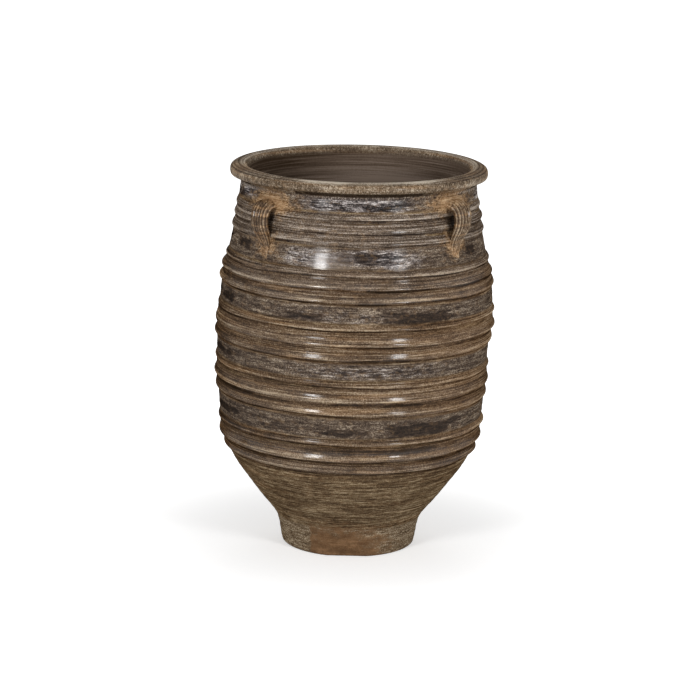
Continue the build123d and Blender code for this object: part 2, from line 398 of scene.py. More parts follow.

# %% [markdown]
# ## Dabs of dark slip and patches of chalk
# A sponge left sooty dabs and chalky patches along the plain bands. An image could be painted for them,
# but a list of places and sizes is enough, and can be changed by hand. The front's dabs are listed one by
# one.
# The sides and back, which the photograph doesn't show, get others of like size at random.

# %% Dabs and patches
# Degrees from the front, height, half width in degrees, half height, strength
FRONT_DABS = [
    (-14, 745, 14, 9, 0.7), (10, 744, 14, 9, 0.95), (-60, 753, 6, 8, 0.9),
    (8, 644, 6, 11, 1.1), (-1, 646, 8, 11, 0.8), (13, 645, 6, 9, 0.7), (-61, 650, 6, 9, 0.9),
    (61, 645, 5, 9, 0.8),
    (26, 528, 17, 13, 0.85), (-20.5, 529, 8, 10, 0.6), (-35, 525, 12, 13, 0.15), (-66, 537, 5, 9, 0.9),
    (10, 421, 30, 13, 0.28), (-62, 426, 3, 6, 1.0),
    (29.5, 299, 15.5, 14, 1.05), (-4, 297, 11, 9, 0.75), (-59, 307, 4, 6, 0.9), (53, 303, 6, 8, 0.25),
    (-36, 302, 15, 12, 0.2), (10, 257, 33, 8, 0.8), (8, 80, 22, 16, 0.8),
]
CHALK_PATCHES = [
    (-1, 746, 27, 15, 1.0), (-64, 750, 9, 10, 0.9), (8, 421, 36, 15, 0.4), (-10, 530, 26, 15, 0.3),
    (5, 648, 15, 20, 0.5), (20, 640, 12, 20, 0.5), (-22, 643, 13, 20, 0.65), (90, 744, 20, 14, 0.7),
    (150, 652, 26, 20, 0.5), (182, 746, 24, 15, 0.9), (230, 650, 22, 20, 0.5), (268, 746, 16, 14, 0.7),
]
PLAIN_BANDS = [744, 648, 538, 423, 308]
BACK_SIDES = np.arange(105, 290, 35)
# Random dabs: how far off their place in degrees and mm, then ranges of half width, half height and strength
DAB_SPREADS = (12, 4)
DAB_RANGES = [(6, 17), (5, 10), (0.5, 1.0)]
rng = np.random.default_rng(7)


def dabs_all_round():
    """The front's dabs, and others of like size drawn at random for the sides and back."""
    dabs = list(FRONT_DABS)
    for height in PLAIN_BANDS:
        for middle in BACK_SIDES:
            aside, up = [rng.uniform(-most, most) for most in DAB_SPREADS]
            sizes = [rng.uniform(*span) for span in DAB_RANGES]
            dabs.append((middle + aside, height + up, *sizes))
    return dabs


DABS = dabs_all_round()
print("dabs", len(DABS), "chalk patches", len(CHALK_PATCHES))

# %% [markdown]
# ## Bare clay, dirt and painted shade
# Bare orange clay shows where the foot was pared, and dirt and painted shade lie behind the straps. A mask
# says where a finish lies, from 0 to 1 at every point. It could be painted, but as a formula it keeps to the
# shape it belongs to.

# %% Bare clay, dirt and painted shade
# The pared patch: degrees between which it starts and ends, and heights between which it ends
BARE_LEFT = (-34, -31)
BARE_RIGHT = (0, 64)
BARE_TOP = (30, 96)
# Dirt and painted shade behind a strap: strength, then half width, middle height and half height in mm
STRAP_DIRT_AND_SHADE = (0.5, 27, 699, 29)


def bare_foot(turn, height):
    """The pared patch on the foot: a crisp left edge, and a soft top and right edge."""
    side = side_of(turn)
    across = smoothstep(side, *BARE_LEFT) * (1 - smoothstep(side, *BARE_RIGHT))
    return across * (1 - smoothstep(height, *BARE_TOP))


def dirt_and_shade_behind_straps(turn, height):
    """Dirt and painted shade on the wall behind each strap: strength * exp(-(oval distance)^8)."""
    strength, half_width, middle, half_height = STRAP_DIRT_AND_SHADE
    dirt_and_painted_shade = np.zeros(np.broadcast(turn, height).shape)
    for across, level in near_handles(turn, height):
        oval = (across / half_width) ** 2 + ((level - middle) / half_height) ** 2
        dirt_and_painted_shade += strength * np.exp(-(oval**4))
    return dirt_and_painted_shade


print("bare patch", BARE_RIGHT[1] - BARE_LEFT[0], "degrees wide")

# %% [markdown]
# ## Rust, a darker side and painted light inside
# The flame left one side of the jar rusty, the other side is darker, and the inner wall carries painted light
# and shade. A flush could be noise, but the real ones are broad and lie at known sides, so bells round the
# jar are enough.

# %% Rust, a darker side and painted light inside
# Heights between which the darker side and the rust start and end, then side and spread in degrees of each
STRETCH_FROM = (170, 260)
STRETCH_TO = (560, 680)
SIDE_DARKENING = (-72, 24)
IRON = (54, 22)
# Painted light and shade on the inner wall: strength, side and spread in degrees
INNER_PAINTED_LIGHT_BELLS = [(0.08, 172, 26), (-0.45, 238, 40), (-0.06, 122, 28)]


def side_stretch(turn, height, middle, spread):
    """A broad stretch down one side of the jar: a bell round the wall, from the cone to the shoulder."""
    around = bell(side_of(turn), middle, spread)
    return around * smoothstep(height, *STRETCH_FROM) * (1 - smoothstep(height, *STRETCH_TO))


def inner_painted_light(turn):
    """Painted light and shade on the inner wall round the jar: the sum of its bells."""
    side = side_of(turn) % 360
    return sum(strength * bell(side, middle, spread) for strength, middle, spread in INNER_PAINTED_LIGHT_BELLS)


print("inner tone", inner_painted_light(TURN).min().round(2), "to", inner_painted_light(TURN).max().round(2))

# %% [markdown]
# ## All masks together
# Pieces carry their masks as point attributes, which need no unwrapping, and the materials read them
# later. Walls, cordons and rim take theirs from one function, so a dab that runs from one piece to the
# next isn't cut off.

# %% All masks together
# Bare clay at the handle roots: strength, then spreads of upper and lower root, and share of the lower
BARE_ROOT = 1.3
BARE_ROOT_SPREADS = ((58, 18), (28, 22), 0.75)


def slip_masks(turn, height, inside=0.0):
    """All the masks of a stretch of wall. Only the last two hold on the inner wall."""
    shape = np.broadcast(turn, height).shape
    masks = {
        "soot": patches(turn, height, DABS),
        "chalk": patches(turn, height, CHALK_PATCHES),
        "gloss": patches(turn, height, GLOSSY_PATCHES),
        "darker_side": side_stretch(turn, height, *SIDE_DARKENING),
        "iron": side_stretch(turn, height, *IRON),
        "band": plain_band(turn, height),
        "root": np.clip(BARE_ROOT * root_clay(turn, height, *BARE_ROOT_SPREADS), 0, 1),
        "bare": bare_foot(turn, height),
        "dirt_and_painted_shade": dirt_and_shade_behind_straps(turn, height),
    }
    masks = {name: value * (1 - inside) for name, value in masks.items()}
    masks["inside"] = np.broadcast_to(inside, shape)
    masks["inner_painted_light"] = np.broadcast_to(inner_painted_light(turn), shape)
    return masks


print("masks", list(slip_masks(TURN, np.full((1, 1), BELLY_JOINT))))

# %% [markdown]
# ## From a grid of points to faces
# Every piece is a grid: its columns close round the piece, and its rows either close as well, like a
# ring, or end in a point at each end. Lathed curves would give the same rings, but a grid can be uneven
# all round. The grid becomes quads, and a point at an end is the tip of a fan of triangles.

# %% Faces of a grid
def grid_faces(rows, columns, rows_close):
    """Quads (i, j), (i, j+1), (i+1, j+1), (i+1, j) of a grid, as an array of corner numbers."""
    i, j = np.meshgrid(np.arange(rows if rows_close else rows - 1), np.arange(columns), indexing="ij")
    next_i, next_j = (i + 1) % rows, (j + 1) % columns
    corners = (i * columns + j, i * columns + next_j, next_i * columns + next_j, next_i * columns + j)
    return np.stack(corners, axis=-1).reshape(-1, 4)


def fan_faces(rows, columns):
    """Triangles from the first and the last row to a tip each. Tips are numbered after the grid's points."""
    tip = rows * columns
    ring = np.arange(columns)
    after = (ring + 1) % columns
    base = tip - columns
    first = np.stack([np.full(columns, tip), after, ring], axis=-1)
    last = np.stack([np.full(columns, tip + 1), base + ring, base + after], axis=-1)
    return np.vstack([first, last])


print("a closed grid of 3 by 4 has", len(grid_faces(3, 4, True)), "faces")

# %% [markdown]
# ## From faces to a piece
# A piece needs its mesh, its masks, and a word to the frame: which body it rides on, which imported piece
# it replaces and which finish it wears. Smooth shading all over would round off the joints, so edges are
# sharp where the surface turns by more than a set angle.

# %% Make a piece
SHARP_ANGLE = math.radians(50)
PIECES = {}


def make_piece(node, slot, points, masks, rows_close=True):
    """A mesh from points (rows, columns, 3) in mm. Rows that don't close end in a fan to the row's middle."""
    rows, columns = points.shape[:2]
    vertices = points.reshape(-1, 3)
    faces = grid_faces(rows, columns, rows_close).tolist()
    values = {name: np.broadcast_to(value, (rows, columns)).ravel() for name, value in masks.items()}
    if not rows_close:
        vertices = np.vstack([vertices, points[0].mean(0), points[-1].mean(0)])
        faces += fan_faces(rows, columns).tolist()
        values = {
            name: np.append(value, [value[:columns].mean(), value[-columns:].mean()])
            for name, value in values.items()
        }
    mesh = bpy.data.meshes.new(node + "_dressed")
    mesh.from_pydata((vertices * MM).tolist(), [], faces)
    for name, value in values.items():
        mesh.attributes.new(name, "FLOAT", "POINT").data.foreach_set("value", value.astype(np.float32))
    mesh.polygons.foreach_set("use_smooth", np.ones(len(mesh.polygons), bool))
    mesh.set_sharp_from_angle(angle=SHARP_ANGLE)
    piece = bpy.data.objects.new(node + "_dressed", mesh)
    bpy.context.scene.collection.objects.link(piece)
    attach(piece, "root")
    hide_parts(node)
    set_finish(piece, slot)
    PIECES[node] = piece
    return piece


print("edges are sharp above", round(math.degrees(SHARP_ANGLE)), "degrees")

# %% [markdown]
# ## Wall rings
# A stage is a hollow ring. Its section runs up the outer wall, over the joint, down the inner wall and
# back under. The joint is a V, so that one stage keys into the next. The rows lie close enough outside to
# carry the finger lines, and wider apart inside, where little shows.

# %% Wall rings and the foot coil
ROW_STEP = 1.6
INNER_STEP = 6.0
RIDGE_HEIGHT = 5.0
RIDGE_HALF_WIDTH = 5.0
STAGES = {
    "foot_ring": (FLOOR_TOP, FOOT_JOINT, "foot_clay"),
    "lower_cone": (FOOT_JOINT, HIP_JOINT, "wall_slip"),
    "lower_belly_ring": (HIP_JOINT, LOWER_BELLY_JOINT, "wall_slip"),
    "belly_ring": (LOWER_BELLY_JOINT, BELLY_JOINT, "wall_slip"),
    "upper_belly_ring": (BELLY_JOINT, SHOULDER_JOINT, "wall_slip"),
    "shoulder_ring": (SHOULDER_JOINT, NECK_JOINT, "wall_slip"),
    "neck_ring": (NECK_JOINT, RIM_JOINT, "wall_slip"),
}


def rows_between(bottom, top, step):
    """Heights from bottom to top, evenly spaced by about a step, as a column."""
    return np.linspace(bottom, top, math.ceil((top - bottom) / step) + 1)[:, None]


def joint_rows(height):
    """Radii and heights of the V of a joint at mid wall, from the outside in."""
    middle = (outer_wall(TURN, height) + inner_wall(TURN, height)) / 2
    radii = np.stack([middle + RIDGE_HALF_WIDTH, middle, middle - RIDGE_HALF_WIDTH])
    heights = np.array([height, height - RIDGE_HEIGHT, height])[:, None]
    return radii, heights


def wall_ring(node, bottom, top, slot):
    """One stage: outer wall up, V joint in, inner wall down, V joint out."""
    outer_heights = rows_between(bottom, top, ROW_STEP)
    inner_heights = rows_between(bottom, top, INNER_STEP)[::-1]
    top_radii, top_heights = joint_rows(top)
    bottom_radii, bottom_heights = joint_rows(bottom)
    radius = np.vstack([
        outer_wall(TURN, outer_heights), top_radii, inner_wall(TURN, inner_heights), bottom_radii[::-1],
    ])
    height = np.vstack([outer_heights, top_heights, inner_heights, bottom_heights[::-1]])
    inside = np.ones_like(height)
    inside[:len(outer_heights)] = 0
    return make_piece(node, slot, place(TURN, radius, height), slip_masks(TURN, height, inside))


for stage, (stage_bottom, stage_top, stage_slot) in STAGES.items():
    ring = wall_ring(stage, stage_bottom, stage_top, stage_slot)
    print(stage, len(ring.data.polygons), "faces")

# %% [markdown]
# ## Floor disc
# The floor is a slab, turned with the foot: flat below, rounded at the standing edge, and closed at the
# axis. A cylinder with a bevel would do for a true disc, but this one has to follow the pared side of the
# foot.

# %% Floor disc
EDGE_ROUND = 5.0
EDGE_STEPS = 7
# Rows of the bottom and of the top, as shares of the way out from the axis
BOTTOM_SHARES = np.array([0.02, 0.35, 0.7])[:, None]
TOP_SHARES = np.array([1, 0.9, 0.6, 0.3, 0.02])[:, None]


def floor_disc():
    """Section from the axis out along the bottom, round the edge, up the side, and back along the top."""
    quarter = np.linspace(0, math.pi / 2, EDGE_STEPS)[:, None]
    side_heights = rows_between(EDGE_ROUND, FLOOR_TOP, ROW_STEP)[1:]
    edge_radius = outer_wall(TURN, np.full((1, 1), EDGE_ROUND))
    joint_radii, joint_heights = joint_rows(FLOOR_TOP)
    radius = np.vstack([
        BOTTOM_SHARES * (edge_radius - EDGE_ROUND),
        edge_radius - EDGE_ROUND * (1 - np.sin(quarter)),
        outer_wall(TURN, side_heights),
        joint_radii,
        TOP_SHARES * inner_wall(TURN, FLOOR_TOP),
    ])
    inner_heights = np.vstack([joint_heights, np.full_like(TOP_SHARES, FLOOR_TOP)])
    height = np.vstack([
        np.zeros_like(BOTTOM_SHARES), EDGE_ROUND * (1 - np.cos(quarter)), side_heights, inner_heights,
    ])
    inside = np.zeros_like(height)
    inside[-len(inner_heights):] = 1
    points = place(TURN, radius, height)
    return make_piece("floor_disc", "foot_clay", points, slip_masks(TURN, height, inside), rows_close=False)


print("floor disc", len(floor_disc().data.polygons), "faces")

# %% [markdown]
# ## Lines that wander
# Nothing that is laid round a jar by hand is level or even. Noise would leave a step where the line
# closes. A sum of a few whole waves with random phases closes by itself.

# %% Lines that wander
LOBES = 9
LOBE_FALLOFF = 0.7
WANDER_SCALE = 1.8


def wander(seed, size):
    """A closed wave round the jar, about size high: the sum of sin(lobes * turn + phase) / lobes^falloff."""
    phases = np.random.default_rng(seed).uniform(0, 2 * math.pi, LOBES)
    lobes = np.arange(1, LOBES + 1)[:, None]
    waves = np.sin(lobes * TURN + phases[:, None]) / lobes**LOBE_FALLOFF
    return size * waves.sum(0) / WANDER_SCALE


print("a wander of 1 mm reaches", np.abs(wander(0, 1.0)).max().round(2), "mm")

# %% [markdown]
# ## The bead of a cordon
# Fingers press a roll of clay down at its edges and leave a round crest, and clay pushed aside fills the
# gap to the next roll. Half a circle would look like a hoop. A narrow bell on a broad cosine gives the
# crest and its skirts, and their shares set how sharp it is.

# %% The bead of a cordon
BEAD_ROWS = 33
ACROSS = np.linspace(-0.5, 0.5, BEAD_ROWS)[:, None]
CREST_SHARE = 0.78
CREST_HALF_WIDTH = 8.5
# Clay between two cordons of a group, as shares of their relief: usual height, how far it varies, and most
FILL = (0.22, 0.2, 0.6)


def joint_fill(seed):
    """How high the clay stands between two cordons of a group, as a share of their relief, round the jar."""
    usual, varies, most = FILL
    return np.clip(usual + wander(seed, varies), 0.0, most)


def bead_section(width, fills):
    """Heights of a bead's rows from its crest, in mm, and its relief from 0 to 1, ending at its two fills.

    Crest: exp(-(d / half width)^2) cos(pi s), skirts: cos(pi s)^1.5, added by their shares, with d from the
    crest in mm and s from the crest in widths.
    """
    up = 2 * width * ACROSS * np.where(ACROSS < 0, UNDER_SHARE, 1 - UNDER_SHARE)
    taper = np.abs(np.cos(math.pi * ACROSS))
    bead = (1 - CREST_SHARE) * taper**1.5 + CREST_SHARE * taper * bell(up, 0, CREST_HALF_WIDTH)
    fill = np.where(ACROSS < 0, fills[0], fills[1])
    return up, fill + (1 - fill) * bead


print("fill between two cordons", joint_fill(0).min().round(2), "to", joint_fill(0).max().round(2))

# %% [markdown]
# ## Cordons
# Three rolls of clay were pressed round each joint and smoothed with the fingers. A bevelled curve would
# make an even roll. This one sinks its tails into the wall, wanders up and down, and swells and thins as
# it goes round, so it is a grid over the same wall.

# %% Cordons
TAIL_SINK = 0.35
BACK_DEPTH = 2.5
# How far a group and each of its cordons wander up and down, in mm, and how much a cordon swells and thins
GROUP_WANDER = 1.6
CORDON_WANDER = 1.3
SWELL = 0.16
# How far a cordon sinks in the clay of a handle root, and the spreads of that clay
ROOT_PRESS = 0.65
PRESS_SPREADS = ((34, 16), (16, 10))
# First numbers of the random draws
CORDON_SEED = 100
FILL_SEED = 300
SWELL_SEED = 50
NO_FILL = np.zeros(COLUMNS)


def cordon(node, crest, width, proud, tilt, shine, fills, group_seed, seed):
    """A bead carried round: crest + wander - droop high, and proud * swell * bead off the wall."""
    up, bead = bead_section(width, fills)
    wandered = wander(group_seed, GROUP_WANDER) + wander(seed, CORDON_WANDER) - droop(TURN, tilt)
    height = crest + up + wandered
    near_root = np.clip(root_clay(TURN, np.full((1, 1), crest), *PRESS_SPREADS), 0, 1)
    swell = (1 + wander(seed + SWELL_SEED, SWELL)) * (1 - ROOT_PRESS * near_root)
    front = outer_wall(TURN, height) + proud * swell * bead - TAIL_SINK * (1 - bead)
    back_heights = height[[-1, BEAD_ROWS // 2, 0]]
    radius = np.vstack([front, outer_wall(TURN, back_heights) - BACK_DEPTH])
    heights = np.vstack([height, back_heights])
    masks = slip_masks(TURN, heights)
    masks["across"] = np.vstack([2 * ACROSS, [[1], [0], [-1]]]) * np.ones_like(TURN)
    masks["shine"] = np.full_like(heights, shine)
    return make_piece(node, "cordon_slip", place(TURN, radius, heights), masks)


for group_number, (group, (joint, step, proud, tilt, shine, rolls)) in enumerate(CORDON_GROUPS.items()):
    seed = 10 * group_number
    joints = [NO_FILL, joint_fill(seed + FILL_SEED), joint_fill(seed + FILL_SEED + 1), NO_FILL]
    for roll, (level, (steps_up, width, relief, share)) in enumerate(rolls.items()):
        cordon(
            f"{group}_cordon_{level}", joint + steps_up * step, width * step, relief * proud, tilt,
            share * shine, joints[roll:roll + 2], group_number, seed + roll + CORDON_SEED,
        )
print("cordons", sum("cordon" in node for node in PIECES))

# %% [markdown]
# ## Smooth lines through given points
# The rim's section and the line of a strap are drawn with a few points, as a potter would cut a template.
# The Catmull-Rom curve was chosen because it goes through its points, where a Bezier or B-spline needs
# handles.

# %% Smooth lines and the rim's section
RIM_SECTION = np.array([
    (242, 757), (243.2, 762), (246.5, 766), (252, 768.2), (258.4, 769.4), (262.2, 772.2), (263.8, 777.5),
    (264, 784.5), (263.2, 790.4), (261.7, 793.5), (260.9, 794.2), (259.7, 795.3), (254, 798.4), (246, 800),
    (238, 799.6), (232.6, 797.2), (229, 791), (226, 780), (224, 768), (223, 757),
])
RIM_SUBDIVISIONS = 6


def smooth_line(points, subdivisions):
    """Catmull-Rom curve through given points, with its ends kept."""
    padded = np.vstack([2 * points[0] - points[1], points, 2 * points[-1] - points[-2]])
    t = np.linspace(0, 1, subdivisions, endpoint=False)[:, None, None]
    before, start, end, after = padded[:-3], padded[1:-2], padded[2:-1], padded[3:]
    curve = 0.5 * (
        2 * start + (end - before) * t + (2 * before - 5 * start + 4 * end - after) * t**2
        + (3 * start - before - 3 * end + after) * t**3
    )
    return np.vstack([curve.transpose(1, 0, 2).reshape(-1, points.shape[1]), points[-1:]])


RIM_LINE = smooth_line(RIM_SECTION, RIM_SUBDIVISIONS)
print("rim section", len(RIM_LINE), "points")

# %% [markdown]
# ## Rings on the rim
# Fingers left narrow rings on the rim's flat top as it turned. A texture could only darken them. Real
# grooves catch the light as well, and a high power of a sine keeps them narrow, with broad flats between.

# %% Rings on the rim
RING_DEPTH = 0.6
RING_SPACING = 8.8
RING_WOBBLE = 0.3
# Radii between which the rings start and end, and heights between which the flat top begins, in mm
RING_START = (233, 237)
RING_END = (254, 259)
FLAT_HEIGHTS = (795, 798)


def rim_rings(radius, height):
    """Grooves in the flat top: -depth |sin(pi (radius - start) / spacing + wobble)|^6, faded at both ends."""
    phase = math.pi * (radius - RING_START[0]) / RING_SPACING + RING_WOBBLE * np.sin(3 * TURN)
    ends = smoothstep(radius, *RING_START) * (1 - smoothstep(radius, *RING_END))
    return -RING_DEPTH * np.abs(np.sin(phase)) ** 6 * ends * smoothstep(height, *FLAT_HEIGHTS)


print("rings", RING_SPACING, "mm apart")

# %% [markdown]
# ## Marks of the rim
# The rim's edges carry pale painted highlights, the outer one has a dark line, and dirt and painted shade
# lie in its undercut. Painting would do, but masks worked out from the section's own radii and heights
# always lie on the right edge.

# %% Marks of the rim
# Heights in mm between which the lip's underside and the undercut begin
UNDERSIDE_HEIGHTS = (768, 771)
UNDERCUT_HEIGHTS = (762.5, 765.5)
# Radii in mm between which the neck, the undercut and the mouth end
NECK_RADII = (246, 249)
UNDERCUT_RADII = (253, 260)
MOUTH_RADII = (226, 231)
# Dark line at the outer edge, and pale lines of painted highlight: radius and half width, with heights where
# they start
EDGE_LINE = (260.6, 1.1)
EDGE_HEIGHTS = (790, 793)
INNER_HIGHLIGHT_LINE = (237, 5)
INNER_HIGHLIGHT_HEIGHTS = (796, 799)
OUTER_HIGHLIGHT_LINE = (247, 10)
# Stretches of the outer painted highlight: degrees from the front, half width in degrees
RIM_HIGHLIGHT_SIDES = [(-15, 13), (20, 20)]
# Half widths of the front, in degrees, and of the clay smeared over the undercut at a handle, in mm
FRONT_HALF_WIDTH = 42
SMEAR_HALF_WIDTH = 76


def rim_masks(radius, height, rings):
    """The rim's own masks, for the rows of its section: products of steps and bells in radius and height."""
    side = side_of(TURN)
    below = 1 - smoothstep(height, *UNDERSIDE_HEIGHTS)
    flat_top = smoothstep(height, *FLAT_HEIGHTS)
    highlight_stretches = sum(bell(side, middle, half, 4) for middle, half in RIM_HIGHLIGHT_SIDES)
    edge_line = bell(radius, *EDGE_LINE) * smoothstep(height, *EDGE_HEIGHTS)
    edge_line = edge_line * (1 - 0.85 * bell(side, 0, FRONT_HALF_WIDTH, 4))
    handles = [bell(across, 0, SMEAR_HALF_WIDTH, 4) for across, _ in near_handles(TURN, 0)]
    # Dirt and painted shade under the lip, in the undercut
    undercut = below * (1 - smoothstep(radius, *UNDERCUT_RADII)) * smoothstep(height, *UNDERCUT_HEIGHTS)
    inner_highlight = bell(radius, *INNER_HIGHLIGHT_LINE) * smoothstep(height, *INNER_HIGHLIGHT_HEIGHTS)
    return {
        "inside": 1 - smoothstep(radius, *MOUTH_RADII),
        "neck": below * (1 - smoothstep(radius, *NECK_RADII)),
        "groove": np.clip(-rings / 0.7 + edge_line, 0, 1),
        "dirt_and_painted_shade": undercut * (1 - 0.8 * np.max(handles, axis=0)),
        "top": flat_top,
        # Painted highlight along the inner and the outer edge of the flat top
        "painted_highlight": 0.8 * inner_highlight + 1.4 * bell(radius, *OUTER_HIGHLIGHT_LINE) * flat_top * highlight_stretches,
    }


print("dark line at a radius of", EDGE_LINE[0], "mm")

# %% [markdown]
# ## Rim
# The rim is a heavy rolled band, undercut below, with a crisp outer edge and a flat top. It dips at the
# front, where it is also a little thinner. Turning the section with a modifier would leave it level and
# even, so it is carried round as a grid.

# %% Rim
RIM_DIP = 4.0
DIP_ALL_ROUND = 0.75
RIM_THINNING = 1.8
# Heights and radii in mm between which the top and the lip begin
TOP_HEIGHTS = (772, 796)
LIP_RADII = (246, 258)
# Random draw and size in mm of the top's and the outline's wander
TOP_WANDER = (201, 0.35)
OUTLINE_WANDER = (202, 0.4)


def with_joint(rows, value):
    """A mask of the section's rows, with one value on the three rows of the joint."""
    return np.vstack([rows * np.ones_like(TURN), np.full((3, COLUMNS), value)])


def rim_ring():
    """The section carried round, with rings on top, a dip and thinning in front, and the V joint below."""
    radius, height = RIM_LINE[:, :1], RIM_LINE[:, 1:]
    facing = np.cos(apart(TURN, FRONT))
    on_top = smoothstep(height, *TOP_HEIGHTS)
    on_lip = smoothstep(radius, *LIP_RADII) * (1 - on_top)
    rings = rim_rings(radius, height)
    dip = RIM_DIP * (DIP_ALL_ROUND + facing) - wander(*TOP_WANDER)
    dipped = height + rings - on_top * dip + on_lip * RIM_THINNING * (1 + facing)
    uneven = slow_waves(TURN, height, ROUNDNESS_WAVES) + wander(*OUTLINE_WANDER)
    joint_radii, joint_heights = joint_rows(RIM_JOINT)
    rim_radius = np.vstack([radius + uneven, joint_radii[::-1]])
    rim_height = np.vstack([dipped, joint_heights[::-1] * np.ones_like(TURN)])
    own = rim_masks(radius, height, rings)
    masks = slip_masks(TURN, rim_height, with_joint(own.pop("inside"), 1.0))
    masks["soot"] = np.zeros_like(rim_height)
    masks["neck"] = with_joint(own.pop("neck"), 1.0)
    masks.update({name: with_joint(rows, 0.0) for name, rows in own.items()})
    return make_piece("rim_ring", "rim_slip", place(TURN, rim_radius, rim_height), masks)


print("rim", len(rim_ring().data.polygons), "faces")

# %% [markdown]
# ## The strap's section
# A strap is pulled from a wet lump through the hand. It starts wide and round at its upper root and ends
# narrow and flat. Two sections could be blended into each other, but a boxy oval goes from one to the
# other by its powers alone.

# %% The strap's section
STRAP_COLUMNS = 96
# Half widths and half thicknesses of the strap in mm, by how far along it they are
STRAP_HALF_WIDTHS = [(0, 27), (0.14, 25), (0.28, 21.5), (0.5, 19.5), (0.7, 15), (0.85, 12), (1, 9)]
STRAP_HALF_THICKNESSES = [(0, 10), (0.28, 9), (0.5, 8.6), (0.65, 6.8), (0.8, 5), (1, 4.5)]


def along_table(along, table):
    """A value of the strap by how far along it is, with straight lines between the rows of a table."""
    return np.interp(along, *np.array(table).T)


def signed_power(value, power):
    """sign(v) |v|^power, which makes a circle's sine and cosine boxier."""
    return np.sign(value) * np.abs(value) ** power


def strap_section(along, upper):
    """Across: half width * cos(v)^0.6. Outwards: sin(v)^0.7.

    Both keep the sign of the cosine or sine. Towards the upper root the powers go to 1, which is round.
    """
    around = np.arange(STRAP_COLUMNS) * 2 * math.pi / STRAP_COLUMNS
    across = along_table(along, STRAP_HALF_WIDTHS) * signed_power(np.cos(around), 0.6 + 0.4 * upper)
    return across, signed_power(np.sin(around), 0.7 + 0.3 * upper)


print("strap", 2 * STRAP_HALF_WIDTHS[0][1], "mm wide at its upper root")

# %% [markdown]
# ## Ridges and thumb marks
# Fingers leave ridges along a pulled strap, and thumbs press its end on. Both could be a bump map, but
# they show in the outline, so they are relief. Ridges are spaced by the length of the section's outline,
# or they would crowd at its corners.

# %% Ridges and thumb marks
RIDGES = 14
RIDGE_WOBBLE = 0.012
# Marks of the thumb: how far along the strap and across it in mm, then length and width of all
PRESS_MARKS = [(0.80, -5.0), (0.83, 4.5), (0.88, -2.5), (0.91, 5.0)]
MARK_LENGTH = 0.024
MARK_WIDTH = 3.2


def share_round(across, outwards):
    """How far round its section each point is, from 0 to 1, by the length of the outline."""
    steps = np.hypot(np.roll(across, -1, axis=1) - across, np.roll(outwards, -1, axis=1) - outwards)
    return (np.cumsum(steps, axis=1) - steps / 2) / steps.sum(1)[:, None]


def ridge_wave(along, across, outwards, seed):
    """1 - 2 sin(pi * ridges * share round the section)^2, with a slow wobble along the strap."""
    ridge_place = share_round(across, outwards) + RIDGE_WOBBLE * np.sin(6 * along + seed)
    return 1 - 2 * np.sin(math.pi * RIDGES * ridge_place) ** 2


def thumb_marks(along, across):
    """The sum of the marks, each a bell along the strap times a bell across it."""
    return sum(
        bell(along, mark_along, MARK_LENGTH) * bell(across, mark_across, MARK_WIDTH)
        for mark_along, mark_across in PRESS_MARKS
    )


print("ridges", RIDGES, "thumb marks", len(PRESS_MARKS))

# %% [markdown]
# ## Strap handles
# Each strap leaves the neck under the rim, bends over like an ear and is pressed down below the neck
# cordons. A curve with a bevel would keep one section. Here the section is carried along a line and
# changes on the way.

# %% Strap handles
# Radius and height in mm of the strap's middle, from its upper root to its lower one
STRAP_LINE = np.array([
    (232, 742), (247, 743), (259.5, 740), (268.5, 732), (272.8, 720), (273, 707), (269.8, 695.5),
    (264.5, 684.5), (259.5, 673), (256.5, 661), (256, 649), (255.5, 639), (249, 630),
])
STRAP_STEPS = 14
# Stretches along the strap in which its upper root ends and its lower one begins
UPPER_END = (0.05, 0.30)
LOWER_START = (0.66, 0.82)
# Relief of the ridges and of the thumb marks, and how far a strap sways to the side, in mm
RIDGE_RELIEF = 1.2
MARK_RELIEF = 4.2
STRAP_SWAY = 1.6
# Painted light and shade on each strap: how much paler or darker its tone is made
STRAP_PAINTED_LIGHT = {"handle_right": 0.08, "handle_back": 0.0, "handle_left": -0.04, "handle_front": -0.08}


def strap(node, turn, seed):
    """The section carried along the strap line: at each point, line + normal * (section + ridges + marks)."""
    line = smooth_line(STRAP_LINE, STRAP_STEPS)
    direction = np.gradient(line, axis=0)
    direction /= np.linalg.norm(direction, axis=1)[:, None]
    along = np.linspace(0, 1, len(line))[:, None]
    upper = 1 - smoothstep(along, *UPPER_END)
    lower = smoothstep(along, *LOWER_START)
    across, outer = strap_section(along, upper)
    flat = along_table(along, STRAP_HALF_THICKNESSES) * outer
    on_face = smoothstep(outer, -0.7, -0.1) * (1 - 0.7 * upper) * (1 - 0.3 * lower)
    ridges = on_face * ridge_wave(along, across, flat, seed)
    thick = flat + RIDGE_RELIEF * ridges * smoothstep(outer, -0.2, 0.6)
    thick = thick + MARK_RELIEF * thumb_marks(along, across) * smoothstep(outer, 0.1, 0.6)
    across = across + STRAP_SWAY * np.sin(4 * along + seed)
    radius = line[:, :1] - direction[:, 1:] * thick
    height = line[:, 1:] + direction[:, :1] * thick - STRAP_DROPS[node]
    x = radius * math.cos(turn) - across * math.sin(turn) + LEAN * math.cos(LEAN_TURN)
    y = radius * math.sin(turn) + across * math.cos(turn) + LEAN * math.sin(LEAN_TURN)
    masks = {
        "ridge": ridges * 0.5 + 0.5,
        # Painted light and shade of the whole strap
        "pale": STRAP_PAINTED_LIGHT[node],
        "root": np.clip(upper + 0.8 * lower, 0, 1),
        "underside": smoothstep(-outer, -0.2, 0.5),
    }
    points = np.stack([x, y, height], axis=-1)
    return make_piece(node, "handle_slip", points, masks, rows_close=False)


for handle_seed, (handle, handle_turn) in enumerate(HANDLE_TURNS.items()):
    print(handle, len(strap(handle, handle_turn, handle_seed).data.polygons), "faces")

